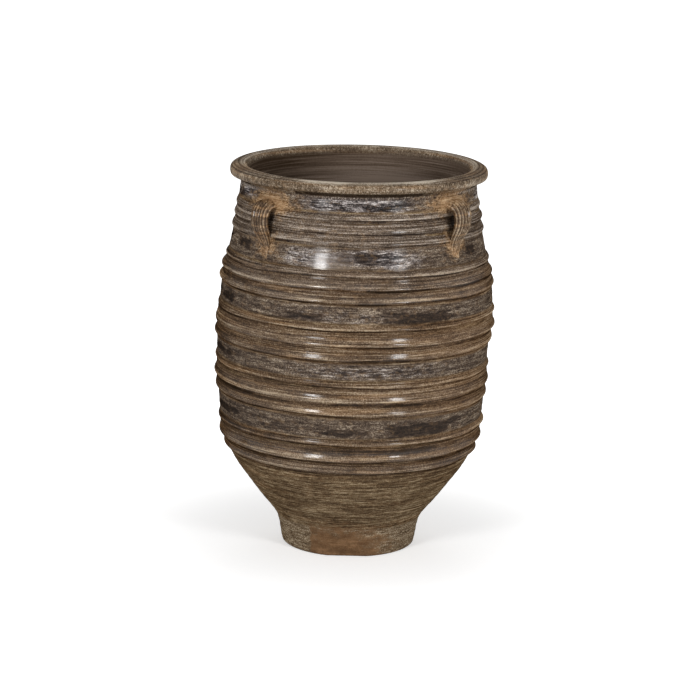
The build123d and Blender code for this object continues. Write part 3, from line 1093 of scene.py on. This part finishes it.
# %% [markdown]
# ## Tools for the finishes
# A material is a small machine of nodes. It could be wired by hand in the shader editor. These helpers
# add one node at a time, so that a recipe reads from top to bottom. The first ones place a node and do
# arithmetic.

# %% Nodes and arithmetic
def put(tree, kind, inputs=None, **settings):
    """Add a node. Settings are its own properties, and inputs are plain values or sockets to link from."""
    item = tree.nodes.new("ShaderNode" + kind)
    for name, value in settings.items():
        setattr(item, name, value)
    for name, value in (inputs or {}).items():
        if isinstance(value, bpy.types.NodeSocket):
            tree.links.new(value, item.inputs[name])
        else:
            item.inputs[name].default_value = value
    return item


def reckon(tree, operation, *values):
    """One step of arithmetic between values or sockets."""
    return put(tree, "Math", dict(enumerate(values)), operation=operation).outputs[0]


def times(tree, first, second):
    """The product of two values."""
    return reckon(tree, "MULTIPLY", first, second)


def add_share(tree, value, share, tone):
    """Move a tone by a share of a value."""
    return reckon(tree, "MULTIPLY_ADD", value, share, tone)


def weigh(tree, mark, share, tone):
    """Move a tone by a share of a mark, counted from the mark's middle."""
    return add_share(tree, reckon(tree, "SUBTRACT", mark, 0.5), share, tone)


def between(tree, share, below, above):
    """A value between two others, by a share."""
    return put(tree, "Mix", {0: share, 2: below, 3: above}).outputs[0]


def fade(tree, value, low, high):
    """0 below low and 1 above high, with a smooth step between."""
    settings = {"Value": value, "From Min": low, "From Max": high}
    return put(tree, "MapRange", settings, interpolation_type="SMOOTHSTEP").outputs["Result"]


print("arithmetic", [helper.__name__ for helper in (times, add_share, weigh, between, fade)])

# %% [markdown]
# ## Colours, masks and a new material
# Paint charts give colours from 0 to 255, and shaders count in linear light, so the one is turned into
# the other. A mask comes back as an attribute, and the height above the floor from the object's own
# coordinates, which stay with the piece when it moves.

# %% Colours, masks and a new material
def srgb(red, green, blue):
    """A colour as a paint chart gives it, 0 to 255, as the linear values that shaders use."""
    values = np.array([red, green, blue]) / 255
    linear = np.where(values <= 0.04045, values / 12.92, ((values + 0.055) / 1.055) ** 2.4)
    return (*linear.tolist(), 1.0)


def blend(tree, share, below, above):
    """One colour laid over another by a share."""
    return put(tree, "Mix", {0: share, 6: below, 7: above}, data_type="RGBA").outputs[2]


def ramp(tree, value, stops):
    """A colour for each value, from (value, colour) stops."""
    item = put(tree, "ValToRGB", {"Fac": value})
    elements = item.color_ramp.elements
    while len(elements) < len(stops):
        elements.new(0.5)
    for element, (position, colour) in zip(elements, stops):
        element.position = position
        element.color = colour
    return item.outputs["Color"]


def mask(tree, name):
    """A mask that a piece carries at its points."""
    return put(tree, "Attribute", attribute_name=name).outputs["Fac"]


def height_of(tree):
    """Height above the standing face, in metres."""
    return put(tree, "SeparateXYZ", {0: put(tree, "TexCoord").outputs["Object"]}).outputs["Z"]


def start_material(name):
    """An empty material and its node tree."""
    material = bpy.data.materials.new(name)
    material.use_nodes = True
    material.node_tree.nodes.clear()
    return material, material.node_tree


print("middle grey is", [round(value, 3) for value in srgb(128, 128, 128)])

# %% [markdown]
# ## The mark that every finish shares
# Slip that is wiped round a turning jar lies in streaks, which is noise that is long round the wall and
# short up it. With length and height alike, the same noise gives the grain of sponge and sand. Copies of
# the same nodes in every finish would do, but one node group makes all of them.

# %% Streaks
CONTRAST = 3.4
NOISE_DETAIL = 2.5
NOISE_ROUGHNESS = 0.6


def streaks_group():
    """Noise on object coordinates, divided by a length round the jar and a height up it, spread to 0..1."""
    group = bpy.data.node_groups.new("wiped_streaks", "ShaderNodeTree")
    for name, value in {"Length": 0.1, "Height": 0.004, "Seed": 0.0, "Contrast": CONTRAST}.items():
        socket = group.interface.new_socket(name=name, in_out="INPUT", socket_type="NodeSocketFloat")
        socket.default_value = value
    group.interface.new_socket(name="Streak", in_out="OUTPUT", socket_type="NodeSocketFloat")
    given = group.nodes.new("NodeGroupInput").outputs
    result = group.nodes.new("NodeGroupOutput").inputs
    per_length = reckon(group, "DIVIDE", 1.0, given["Length"])
    per_height = reckon(group, "DIVIDE", 1.0, given["Height"])
    stretch = put(group, "CombineXYZ", {"X": per_length, "Y": per_length, "Z": per_height}).outputs[0]
    place_at = put(group, "TexCoord").outputs["Object"]
    stretched = put(group, "VectorMath", {0: place_at, 1: stretch}, operation="MULTIPLY").outputs[0]
    settings = {
        "Vector": stretched, "W": given["Seed"], "Scale": 1.0, "Detail": NOISE_DETAIL,
        "Roughness": NOISE_ROUGHNESS,
    }
    noise = put(group, "TexNoise", settings, noise_dimensions="4D").outputs["Fac"]
    spread = weigh(group, noise, given["Contrast"], 0.5)
    spread.node.use_clamp = True
    group.links.new(spread, result["Streak"])
    return group


STREAKS = streaks_group()
print("group", STREAKS.name, len(STREAKS.nodes), "nodes")

# %% [markdown]
# ## Streaks over streaks
# A wiped surface has long streaks, short dashes and sand at once. A single noise with much detail has
# them all in one fixed mix. Here every finish lays several layers over each other, each with its own size
# and share, and tears the edges of its masks with the same streaks.

# %% Layers of streaks
def streak(tree, length, height, seed, contrast=CONTRAST):
    """One layer of streaks, 0 to 1, of a length and height in mm."""
    values = {"Length": length * MM, "Height": height * MM, "Seed": seed, "Contrast": contrast}
    return put(tree, "Group", values, node_tree=STREAKS).outputs[0]


def layered_tone(tree, middle, layers):
    """Middle + the sum of share * (streak - 0.5): each layer is (length, height, share), sizes in mm."""
    tone = middle
    for seed, (length, height, share) in enumerate(layers):
        tone = weigh(tree, streak(tree, length, height, seed + 1.0), share, tone)
    return tone


def torn(tree, name, grain, share, edge):
    """A mask with its soft edge torn by streaks: grain is (length, height, seed), edge is (from, to)."""
    return fade(tree, weigh(tree, streak(tree, *grain), share, mask(tree, name)), *edge)


print("layers", [helper.__name__ for helper in (streak, layered_tone, torn)])

# %% [markdown]
# ## The earths
# All finishes are mixed from a few earths. A finish turns its tone into a colour with its own ramp, from
# the dark clay that shows in the grooves to the pale slip that was rubbed over the tops. One ramp keeps
# the colours of a finish in one family, where mixing noise colours would give hues that no clay has.

# %% Earth colours
def earths(*stops):
    """Stops of a ramp from (position, red, green, blue), with colours as a paint chart gives them."""
    return [(position, srgb(*colour)) for position, *colour in stops]


CORDON_EARTHS = earths((0.02, 36, 26, 16), (0.34, 70, 53, 38), (0.62, 104, 84, 64), (0.98, 165, 147, 123))
UPPER_EARTHS = earths((0.02, 34, 26, 20), (0.34, 71, 60, 51), (0.62, 107, 94, 82), (0.98, 177, 165, 153))
BAND_EARTHS = earths((0.02, 32, 26, 22), (0.34, 62, 51, 43), (0.62, 100, 86, 73), (0.98, 174, 159, 139))
CHALKY_EARTHS = earths((0.02, 24, 22, 22), (0.34, 61, 56, 55), (0.62, 111, 103, 100), (0.98, 205, 198, 194))
CONE_EARTHS = earths((0.02, 46, 34, 21), (0.40, 84, 66, 47), (0.65, 106, 87, 64), (0.98, 160, 141, 112))
RIM_EARTHS = earths((0.02, 40, 30, 21), (0.36, 88, 73, 57), (0.62, 124, 107, 88), (0.98, 192, 178, 157))
FOOT_EARTHS = earths((0.02, 50, 39, 27), (0.36, 94, 77, 58), (0.62, 126, 108, 86), (0.98, 186, 170, 144))
RUST_EARTHS = earths((0.02, 56, 38, 23), (0.36, 113, 85, 58), (0.65, 154, 123, 90), (0.98, 198, 173, 140))
BARE_EARTHS = earths((0.05, 86, 62, 41), (0.50, 110, 83, 58), (0.95, 140, 108, 78))
INNER_EARTHS = earths((0.05, 52, 40, 29), (0.50, 90, 76, 65), (0.95, 128, 113, 101))
# Colour of the dirt and painted shade behind the straps and in the rim's undercut
DIRT_AND_SHADE_COLOUR = srgb(36, 26, 18)
print("darkest cordon earth", CORDON_EARTHS[0])

# %% [markdown]
# ## One body for every finish
# Under its colour every finish is rough clay with a thin satin skin. A lower roughness would make all of
# it shine. A clear coat over a dull base keeps the two apart, as a fired slip does. The skin is worn at a
# small scale, so it fades where it is seen at a glancing angle.

# %% Clay under a satin skin
CLAY_ROUGHNESS = 0.7
SKIN_ROUGHNESS = 0.15
SKIN_INDEX = 1.5


def finish_material(tree, colour, tone, relief, gloss, worn=(0.75, 0.2)):
    """Join colour, relief and skin.

    Relief is the depth in mm of a tone of 1, and worn is where the skin fades: weight = fade * gloss * clean.
    """
    bump = put(tree, "Bump", {"Height": tone, "Strength": 1.0, "Distance": relief * MM})
    glancing = put(tree, "LayerWeight", {"Blend": 0.5}).outputs["Facing"]
    dull = reckon(tree, "MAXIMUM", mask(tree, "inside"), mask(tree, "dirt_and_painted_shade"))
    shine = times(tree, fade(tree, glancing, *worn), gloss)
    shine = times(tree, shine, reckon(tree, "SUBTRACT", 1.0, dull))
    skin = put(tree, "BsdfPrincipled", {
        "Base Color": colour, "Roughness": CLAY_ROUGHNESS, "Specular IOR Level": 0.0,
        "Normal": bump.outputs[0],
        "Coat Weight": shine, "Coat Roughness": SKIN_ROUGHNESS, "Coat IOR": SKIN_INDEX,
    })
    out = put(tree, "OutputMaterial")
    tree.links.new(skin.outputs[0], out.inputs["Surface"])


print("skin index", SKIN_INDEX)

# %% [markdown]
# ## Dirt, painted shade and bare clay
# Dirt and painted shade lie behind the straps and in the undercut, and bare clay shows at the handle roots
# and on the pared foot. All of it runs across the borders of pieces. One material for the whole jar would
# need every mask on every piece. A function that lays one colour over another, by a mask with a torn edge,
# serves every finish, and neighbours agree where they meet.

# %% Dirt, painted shade and bare clay
# Streaks of the pared patch: length and height in mm, share
BARE_LAYERS = [(24, 18, 0.5), (2.6, 2.4, 0.3), (60, 4, 0.25)]
BARE_TONE = 0.50
# How much the dirt and painted shade cover
DIRT_AND_SHADE_COVER = 0.9
# Root clay: what it keeps of the tone below, its own tone, and how dark the grit at its edge is
ROOT_KEEPS = 0.6
ROOT_TONE = 0.36
GRIT_SHADE = -0.5


def over_dirt_and_shade(tree, colour):
    """Dirt and painted shade behind the straps and in the undercut, laid on dark."""
    dirt_and_painted_shade = torn(tree, "dirt_and_painted_shade", (16, 14, 21.0), 0.5, (0.25, 0.75))
    return blend(tree, times(tree, dirt_and_painted_shade, DIRT_AND_SHADE_COVER), colour, DIRT_AND_SHADE_COLOUR)


def over_roots(tree, colour, tone):
    """Bare orange clay where the handle roots were smeared over the wall, with dark grit at its edge."""
    root = mask(tree, "root")
    edge = times(tree, fade(tree, root, 0.05, 0.3), fade(tree, root, 1.0, 0.6))
    grit = times(tree, edge, fade(tree, streak(tree, 5, 4, 22.0, 5.0), 0.55, 0.85))
    smeared = add_share(tree, grit, GRIT_SHADE, add_share(tree, tone, ROOT_KEEPS, ROOT_TONE))
    covered = torn(tree, "root", (14, 9, 11.0), 0.6, (0.05, 0.95))
    return blend(tree, covered, colour, ramp(tree, smeared, RUST_EARTHS))


def over_bare(tree, colour):
    """The pared patch of the foot: smooth bare clay in soft blotches."""
    bare = ramp(tree, layered_tone(tree, BARE_TONE, BARE_LAYERS), BARE_EARTHS)
    return blend(tree, torn(tree, "bare", (26, 14, 14.0), 0.6, (0.15, 0.9)), colour, bare)


print("layers", [layer.__name__ for layer in (over_dirt_and_shade, over_roots, over_bare)])

# %% [markdown]
# ## Inner wall and rust
# Inside, the wall is plain wiped clay, paler farther down, with painted light and shade round it. Outside,
# iron in the slip burned rusty in long stretches. Both could be materials of their own, but neither has a
# firm border. So they are layers as well, and each finish says how much rust it wants.

# %% Inner wall and rust
INNER_LAYERS = [(500, 16, 0.25), (260, 4.5, 0.36), (120, 2.4, 0.3), (3, 3, 0.12)]
INNER_TONE = 0.54
# Heights in metres between which the inner wall grows paler on the way down, and by how much
INNER_HEIGHTS = (0.79, 0.69)
INNER_PALENESS = 0.38
# How much rust the iron side shows at least, and how much darker it is
IRON_RUST = 0.45
IRON_SHADE = -0.18


def over_inside(tree, colour):
    """The inner wall: smooth clay with long faint streaks, paler farther down, and painted light and shade
    round it.
    """
    tone = layered_tone(tree, INNER_TONE, INNER_LAYERS)
    tone = add_share(tree, fade(tree, height_of(tree), *INNER_HEIGHTS), INNER_PALENESS, tone)
    # Painted light and shade round the inner wall
    tone = reckon(tree, "ADD", mask(tree, "inner_painted_light"), tone)
    return blend(tree, mask(tree, "inside"), colour, ramp(tree, tone, INNER_EARTHS))


def warm(tree, colour, tone, share):
    """Rusty stretches of slip, long round the wall, where iron in the clay shows, and more on one side."""
    iron = mask(tree, "iron")
    rusty = times(tree, fade(tree, streak(tree, 240, 14, 12.0), 0.50, 0.95), share)
    rusty = reckon(tree, "MAXIMUM", rusty, times(tree, iron, IRON_RUST))
    return blend(tree, rusty, colour, ramp(tree, add_share(tree, iron, IRON_SHADE, tone), RUST_EARTHS))


MATERIALS = {}


def keep(recipe):
    """Make a finish by its recipe, store it under the recipe's name, and say how large it is."""
    MATERIALS[recipe.__name__] = recipe()
    print(recipe.__name__, len(MATERIALS[recipe.__name__].node_tree.nodes), "nodes")


print("layers", [layer.__name__ for layer in (over_inside, warm)])

# %% [markdown]
# ## Dry-brushed bands
# The plain bands are dark slip, brushed on almost dry so that pale dashes show, chalky where the sponge
# was clean and sooty where it wasn't. Two textures could be mixed for that. Here one tone is moved up or
# down, and chalk and soot keep the same dashes.

# %% Dry-brushed bands
BAND_LAYERS = [(9, 2.0, 0.32), (80, 3.4, 0.3), (2.2, 2.0, 0.5), (40, 9, 0.24)]
BAND_TONE = 0.51
# How much paler chalk is, and how strongly it is dashed
CHALK_PALENESS = 0.14
CHALK_DASHES = 0.5
# What soot keeps of the tone below, and its own tone, on smooth and on dashed slip
SMOOTH_SOOT = (0.52, -0.11)
DASHED_SOOT = (0.95, -0.27)


def brushed_tone(tree, chalk, sooty):
    """Tone of a plain band: paler and dashed where it is chalky, and dark where it is sooty."""
    tone = add_share(tree, chalk, CHALK_PALENESS, layered_tone(tree, BAND_TONE, BAND_LAYERS))
    tone = weigh(tree, streak(tree, 18, 2.4, 18.0, 5.0), times(tree, chalk, CHALK_DASHES), tone)
    smooth_soot = add_share(tree, tone, *SMOOTH_SOOT)
    dashed_soot = add_share(tree, tone, *DASHED_SOOT)
    return between(tree, sooty, tone, between(tree, chalk, smooth_soot, dashed_soot))


print("band layers", len(BAND_LAYERS))

# %% [markdown]
# ## Wall slip
# The cone below the hip is scratched brown slip, and the bands above are brushed. A stage has a stretch
# of each, and two materials would leave a hard line. One material holds both and goes from one to the
# other by the band mask.

# %% Wall slip
CONE_LAYERS = [(70, 1.9, 0.66), (120, 7, 0.2), (2.6, 2.2, 0.42), (14, 2.2, 0.42), (60, 30, 0.15)]
CONE_TONE = 0.50
# Tone of the glossy patches: even, and paler as a painted sheen
GLOSSY_PAINTED_SHEEN_TONE = 0.66
# How much paler the cone is at its foot, below these heights in metres, and darker under soot and on the
# darker side
FOOT_HEIGHTS = (0.20, 0.12)
FOOT_PALENESS = 0.07
CONE_SOOT = -0.16
WALL_SIDE_DARKENING = -0.09
WALL_RUST = 0.3
WALL_RELIEF = 0.14
# Shine of the wall, and what a glossy patch adds where no soot covers it
WALL_SHINE = 0.10
GLOSSY_SHINE = 0.48


def wall_slip():
    """Scratched brown slip on the cone, and dry-brushed dark slip with pale dashes on the plain bands."""
    material, tree = start_material("wall_slip")
    band, gloss = mask(tree, "band"), mask(tree, "gloss")
    chalk = torn(tree, "chalk", (20, 5, 19.0), 0.4, (0.1, 0.9))
    sooty = torn(tree, "soot", (24, 8, 13.0), 0.8, (0.1, 0.8))
    cone_tone = layered_tone(tree, CONE_TONE, CONE_LAYERS)
    cone_tone = add_share(tree, fade(tree, height_of(tree), *FOOT_HEIGHTS), FOOT_PALENESS, cone_tone)
    cone_tone = add_share(tree, sooty, CONE_SOOT, cone_tone)
    tone = between(tree, band, cone_tone, brushed_tone(tree, chalk, sooty))
    # Glossy patches: dashes evened out and paled towards a painted sheen
    tone = between(tree, times(tree, gloss, 0.7), tone, GLOSSY_PAINTED_SHEEN_TONE)
    tone = add_share(tree, mask(tree, "darker_side"), WALL_SIDE_DARKENING, tone)
    cone = warm(tree, ramp(tree, tone, CONE_EARTHS), tone, WALL_RUST)
    brushed = blend(tree, chalk, ramp(tree, tone, BAND_EARTHS), ramp(tree, tone, CHALKY_EARTHS))
    colour = over_roots(tree, over_bare(tree, blend(tree, band, cone, brushed)), cone_tone)
    colour = over_inside(tree, over_dirt_and_shade(tree, colour))
    clean = add_share(tree, sooty, -0.75, 1.0)
    shine = add_share(tree, times(tree, gloss, clean), GLOSSY_SHINE, WALL_SHINE)
    finish_material(tree, colour, between(tree, gloss, tone, 0.5), WALL_RELIEF, shine)
    return material


keep(wall_slip)

# %% [markdown]
# ## Cordon slip
# Fingers drew the slip along the cordons in long threads of brown, tan and rust. Painted shade darkens the
# flank under each crest down to the groove, and the crests are pale with rubbed slip and painted highlight,
# and shiny along them. Pointiness could find crests and grooves, but it depends on the mesh. Every cordon
# carries how far across its bead a point lies, and the recipe reads that.

# %% Cordon slip
CORDON_LAYERS = [(400, 1.9, 0.42), (140, 2.6, 0.32), (2.3, 2.0, 0.5), (24, 2, 0.25), (300, 20, 0.25)]
CORDON_TONE = 0.45
# How much painted shade darkens the flank under the crest, how much paler rubbed slip and painted highlight
# make the crest, and how much darker it is under soot and on the darker side
UNDER_CREST_PAINTED_SHADE = -0.42
CREST_WEAR_AND_HIGHLIGHT = 0.36
CORDON_SOOT = -0.36
CORDON_SIDE_DARKENING = -0.12
# Heights in metres between which cordons turn darker going down and greyer going up, and by how much
HIP_HEIGHTS = (0.33, 0.25)
HIP_SHADE = -0.06
GREY_HEIGHTS = (0.55, 0.67)
GREY_SHARE = 0.85
CORDON_RUST = 0.45
CORDON_RELIEF = 0.3


def cordon_slip():
    """Long threads of brown, tan and rust, with painted shade below the crest and a crest paled by wear and
    painted highlight.
    """
    material, tree = start_material("cordon_slip")
    across = mask(tree, "across")
    height = height_of(tree)
    tone = layered_tone(tree, CORDON_TONE, CORDON_LAYERS)
    # Painted shade on the flank below the crest, broken along its length
    painted_shade_under_crest = times(tree, fade(tree, across, -0.1, -0.35), fade(tree, across, -1.0, -0.55))
    broken = fade(tree, streak(tree, 90, 16, 15.0), 0.2, 0.8)
    # The crest is paled by rubbed slip and by painted highlight
    crest = times(tree, fade(tree, across, -0.25, 0.0), fade(tree, across, 0.45, 0.1))
    marks = [
        (times(tree, painted_shade_under_crest, broken), UNDER_CREST_PAINTED_SHADE),
        (times(tree, crest, streak(tree, 60, 12, 16.0)), CREST_WEAR_AND_HIGHLIGHT),
        (torn(tree, "soot", (30, 4, 13.0), 0.5, (0.2, 0.8)), CORDON_SOOT),
        (mask(tree, "darker_side"), CORDON_SIDE_DARKENING),
        (fade(tree, height, *HIP_HEIGHTS), HIP_SHADE),
    ]
    for mark, share in marks:
        tone = add_share(tree, mark, share, tone)
    colour = warm(tree, ramp(tree, tone, CORDON_EARTHS), tone, CORDON_RUST)
    greyer = times(tree, fade(tree, height, *GREY_HEIGHTS), GREY_SHARE)
    colour = blend(tree, greyer, colour, ramp(tree, tone, UPPER_EARTHS))
    polished = times(tree, fade(tree, across, -0.6, -0.1), fade(tree, across, 0.8, 0.35))
    shine = times(tree, mask(tree, "shine"), fade(tree, streak(tree, 50, 20, 20.0), -0.3, 0.6))
    shine = times(tree, shine, add_share(tree, polished, 0.75, 0.25))
    finish_material(tree, over_dirt_and_shade(tree, over_roots(tree, colour, tone)), tone, CORDON_RELIEF, shine)
    return material


keep(cordon_slip)

# %% [markdown]
# ## Rim slip
# The rim wears pale slip with dark pits, dark lines turned into its top, painted highlights along its edges,
# and dirt and painted shade in its undercut. Below the undercut it could keep its own slip, but a border
# would show there. It takes the brushed slip of the neck, and over the mouth that of the inner wall.

# %% Rim slip
RIM_LAYERS = [(150, 4, 0.2), (2.4, 2.2, 0.5), (60, 20, 0.25)]
RIM_TONE = 0.53
# How strong the pits are on the face, and how much weaker on the top
PITS = 0.42
TOP_PITS = -0.3
LINE_SHADE = -0.45
# How much paler the painted highlight makes the rim's edges
HIGHLIGHT_PALENESS = 0.45
RIM_RUST = 0.6
RIM_RELIEF = 0.3
RIM_SHINE = 0.18
# Shine added along the painted highlight
HIGHLIGHT_SHINE = 0.35
RIM_WORN = (1.0, 0.5)


def rim_slip():
    """Pale slip with dark pits on the face, dark lines turned into the top, painted highlights on the edges.
    Dirt and painted shade lie in the undercut.
    """
    material, tree = start_material("rim_slip")
    painted_highlight = mask(tree, "painted_highlight")
    pits = add_share(tree, mask(tree, "top"), TOP_PITS, PITS)
    tone = weigh(tree, streak(tree, 3.4, 9, 9.0), pits, layered_tone(tree, RIM_TONE, RIM_LAYERS))
    tone = add_share(tree, mask(tree, "groove"), LINE_SHADE, tone)
    # Painted highlight along the rim's edges
    tone = add_share(tree, painted_highlight, HIGHLIGHT_PALENESS, tone)
    colour = warm(tree, ramp(tree, tone, RIM_EARTHS), tone, RIM_RUST)
    chalky = ramp(tree, tone, CHALKY_EARTHS)
    brushed = blend(tree, mask(tree, "chalk"), ramp(tree, tone, BAND_EARTHS), chalky)
    colour = over_roots(tree, blend(tree, mask(tree, "neck"), colour, brushed), tone)
    colour = over_inside(tree, over_dirt_and_shade(tree, colour))
    shine = add_share(tree, painted_highlight, HIGHLIGHT_SHINE, RIM_SHINE)
    finish_material(tree, colour, tone, RIM_RELIEF, shine, worn=RIM_WORN)
    return material


keep(rim_slip)

# %% [markdown]
# ## Handle slip
# On the straps pale slip stays on the ridges, dark slip in the grooves, and rusty clay shows towards the
# roots. Streaks could fake the ridges. They are real relief here, so their own mask colours them, and the
# colour can't slide off the shape.

# %% Handle slip
HANDLE_LAYERS = [(7, 7, 0.3), (2.4, 2.4, 0.35), (25, 12, 0.25)]
HANDLE_TONE = 0.48
RIDGE_CONTRAST = 0.58
# Painted shade on the face of a strap that looks towards the wall
UNDERSIDE_SHADE = -0.12
HANDLE_RUST = 0.95
HANDLE_RELIEF = 0.4
HANDLE_SHINE = 0.32


def handle_slip():
    """Pale slip on the ridges, dark grooves between them, and rusty clay towards the roots."""
    material, tree = start_material("handle_slip")
    tone = weigh(tree, mask(tree, "ridge"), RIDGE_CONTRAST, layered_tone(tree, HANDLE_TONE, HANDLE_LAYERS))
    # Painted shade on the strap's face towards the wall
    tone = add_share(tree, mask(tree, "underside"), UNDERSIDE_SHADE, tone)
    # Painted light and shade of the whole strap
    tone = reckon(tree, "ADD", mask(tree, "pale"), tone)
    colour = warm(tree, ramp(tree, tone, CORDON_EARTHS), tone, HANDLE_RUST)
    finish_material(tree, over_roots(tree, colour, tone), tone, HANDLE_RELIEF, HANDLE_SHINE)
    return material


keep(handle_slip)

# %% [markdown]
# ## Foot clay
# The foot was combed and left almost bare, and its pared side is smooth. Combing could be modelled as
# grooves, but it is too fine to show as more than a tone. The recipe is short streaks, sand, and the
# pared patch over them.

# %% Foot clay, and a material on every piece
FOOT_LAYERS = [(22, 2.4, 0.5), (2.4, 2.2, 0.7), (80, 12, 0.2)]
FOOT_TONE = 0.52
FOOT_RELIEF = 0.5
FOOT_SHINE = 0.12


def foot_clay():
    """Combed grey-beige clay, with the pared patch bare and smooth."""
    material, tree = start_material("foot_clay")
    tone = layered_tone(tree, FOOT_TONE, FOOT_LAYERS)
    colour = over_bare(tree, ramp(tree, tone, FOOT_EARTHS))
    finish_material(tree, over_inside(tree, colour), tone, FOOT_RELIEF, FOOT_SHINE)
    return material


keep(foot_clay)
for piece in PIECES.values():
    piece.data.materials.append(MATERIALS[piece["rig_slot"]])
print("materials", sorted(MATERIALS))

# %% [markdown]
# ## Floor
# The jar stands on a pale studio floor. A white floor under plain light comes out grey, and more light
# would wash out the clay. So the floor also glows, to the camera alone, and less near the jar, where a
# soft shadow stays.

# %% Floor
FLOOR_SIZE = 40.0
FLOOR_WHITE = (0.8, 0.8, 0.8, 1)
# How white the floor glows near the jar, and the distances in metres between which it grows to full white
NEAR_GLOW = 0.42
GLOW_NEAR = 0.25
GLOW_FAR = 0.9


def seen_directly(tree):
    """1 for rays from the camera, or that a shiny or clear surface sends on."""
    path = put(tree, "LightPath")
    direct = reckon(tree, "MAXIMUM", path.outputs["Is Camera Ray"], path.outputs["Is Glossy Ray"])
    return reckon(tree, "MAXIMUM", direct, path.outputs["Is Transmission Ray"])


def floor_paint():
    """A white body with a glow to the camera that grows away from the jar."""
    material, tree = start_material("studio_floor")
    body = put(tree, "BsdfDiffuse", {"Color": FLOOR_WHITE})
    place_at = put(tree, "TexCoord").outputs["Object"]
    away = put(tree, "VectorMath", {0: place_at}, operation="LENGTH").outputs["Value"]
    spread = {"Value": away, "From Min": GLOW_NEAR, "From Max": GLOW_FAR, "To Min": NEAR_GLOW, "To Max": 1.0}
    glow = put(tree, "MapRange", spread, interpolation_type="SMOOTHSTEP").outputs["Result"]
    light = put(tree, "Emission", {"Strength": times(tree, seen_directly(tree), glow)})
    both = put(tree, "AddShader", {0: body.outputs[0], 1: light.outputs[0]})
    out = put(tree, "OutputMaterial")
    tree.links.new(both.outputs[0], out.inputs["Surface"])
    return material


def studio_floor():
    """A wide square sheet at the standing height."""
    half = FLOOR_SIZE / 2
    corners = [(-half, -half, 0), (half, -half, 0), (half, half, 0), (-half, half, 0)]
    mesh = bpy.data.meshes.new("studio_floor")
    mesh.from_pydata(corners, [], [(0, 1, 2, 3)])
    mesh.materials.append(floor_paint())
    floor = bpy.data.objects.new("studio_floor", mesh)
    bpy.context.scene.collection.objects.link(floor)


studio_floor()
print("floor", FLOOR_SIZE, "m wide")

# %% [markdown]
# ## Background
# The background is white to the camera and in reflections. As a light it is dimmer, and fills the shadows
# evenly from all sides. Two worlds would be needed for that, or, as here, one that asks what kind of ray
# sees it.

# %% Background
FILL_LIGHT = 0.38


def studio_world(fill):
    """White where it is seen or mirrored, and a dimmer fill as a light."""
    world = bpy.data.worlds.new("studio")
    bpy.context.scene.world = world
    world.use_nodes = True
    tree = world.node_tree
    tree.nodes.clear()
    levels = {"Value": seen_directly(tree), "To Min": fill, "To Max": 1.0}
    strength = put(tree, "MapRange", levels).outputs["Result"]
    sky = put(tree, "Background", {"Color": (1, 1, 1, 1), "Strength": strength})
    out = put(tree, "OutputWorld")
    tree.links.new(sky.outputs[0], out.inputs["Surface"])


studio_world(FILL_LIGHT)
print("fill", FILL_LIGHT)

# %% [markdown]
# ## Lamps
# Two tall soft boxes stand in front of the jar, left and right, and leave the pairs of bright spots on
# the cordons. Area lamps were chosen because their shape shows in those spots, where a sun or a point
# would leave dots. A third box lights the inside from behind, and is kept out of reflections.

# %% Lamps
LAMP_DISTANCE = 2.6
LAMP_AIM = Vector((0, 0, 0.5))


def soft_box(name, side, height, size, power):
    """A rectangular lamp at an angle from the front, turned to face the jar."""
    turn = FRONT + math.radians(side)
    lamp = bpy.data.lights.new(name, "AREA")
    lamp.shape = "RECTANGLE"
    lamp.size, lamp.size_y = size
    lamp.energy = power
    box = bpy.data.objects.new(name, lamp)
    box.location = (LAMP_DISTANCE * math.cos(turn), LAMP_DISTANCE * math.sin(turn), height)
    box.rotation_euler = (LAMP_AIM - box.location).to_track_quat("-Z", "Y").to_euler()
    bpy.context.scene.collection.objects.link(box)
    return box


soft_box("left_soft_box", -31, 1.25, (0.45, 0.75), 31)
soft_box("right_soft_box", 37.5, 1.25, (0.45, 0.75), 29)
soft_box("back_soft_box", 180, 2.2, (1.6, 1.2), 18).visible_glossy = False
print("lamps", [lamp.name for lamp in bpy.data.lights])

# %% [markdown]
# ## Camera
# The lens stands about one and a half metres up and five metres back, looks down a little and is rolled
# by about one degree. These values came from fitting the rim, the cordons and the foot to one camera. The
# axes are built from the view itself, because a tracking constraint would not keep the roll.

# %% Camera
LENS_DISTANCE = 5.0084
LENS_HEIGHT = 1.516
LENS_SIDESTEP = -0.0038
LENS_PITCH = math.radians(12.50)
LENS_ROLL = math.radians(1.263)
LENS_LENGTH = 127.2
SENSOR_WIDTH = 36

camera_data = bpy.data.cameras.new("camera")
camera_data.lens = LENS_LENGTH
camera_data.sensor_width = SENSOR_WIDTH
camera = bpy.data.objects.new("camera", camera_data)
bpy.context.scene.collection.objects.link(camera)
right = Vector((-math.sin(FRONT), math.cos(FRONT), 0))
towards_lens = Vector((math.cos(FRONT), math.sin(FRONT), 0))
back = towards_lens * math.cos(LENS_PITCH) + Vector((0, 0, math.sin(LENS_PITCH)))
axes = Matrix((right, back.cross(right), back)).transposed()
camera.rotation_euler = (axes @ Matrix.Rotation(LENS_ROLL, 3, "Z")).to_euler()
camera.location = towards_lens * LENS_DISTANCE + right * LENS_SIDESTEP + Vector((0, 0, LENS_HEIGHT))
bpy.context.scene.camera = camera
bpy.context.scene.view_settings.view_transform = "Standard"
print("camera at", [round(value, 3) for value in camera.location])
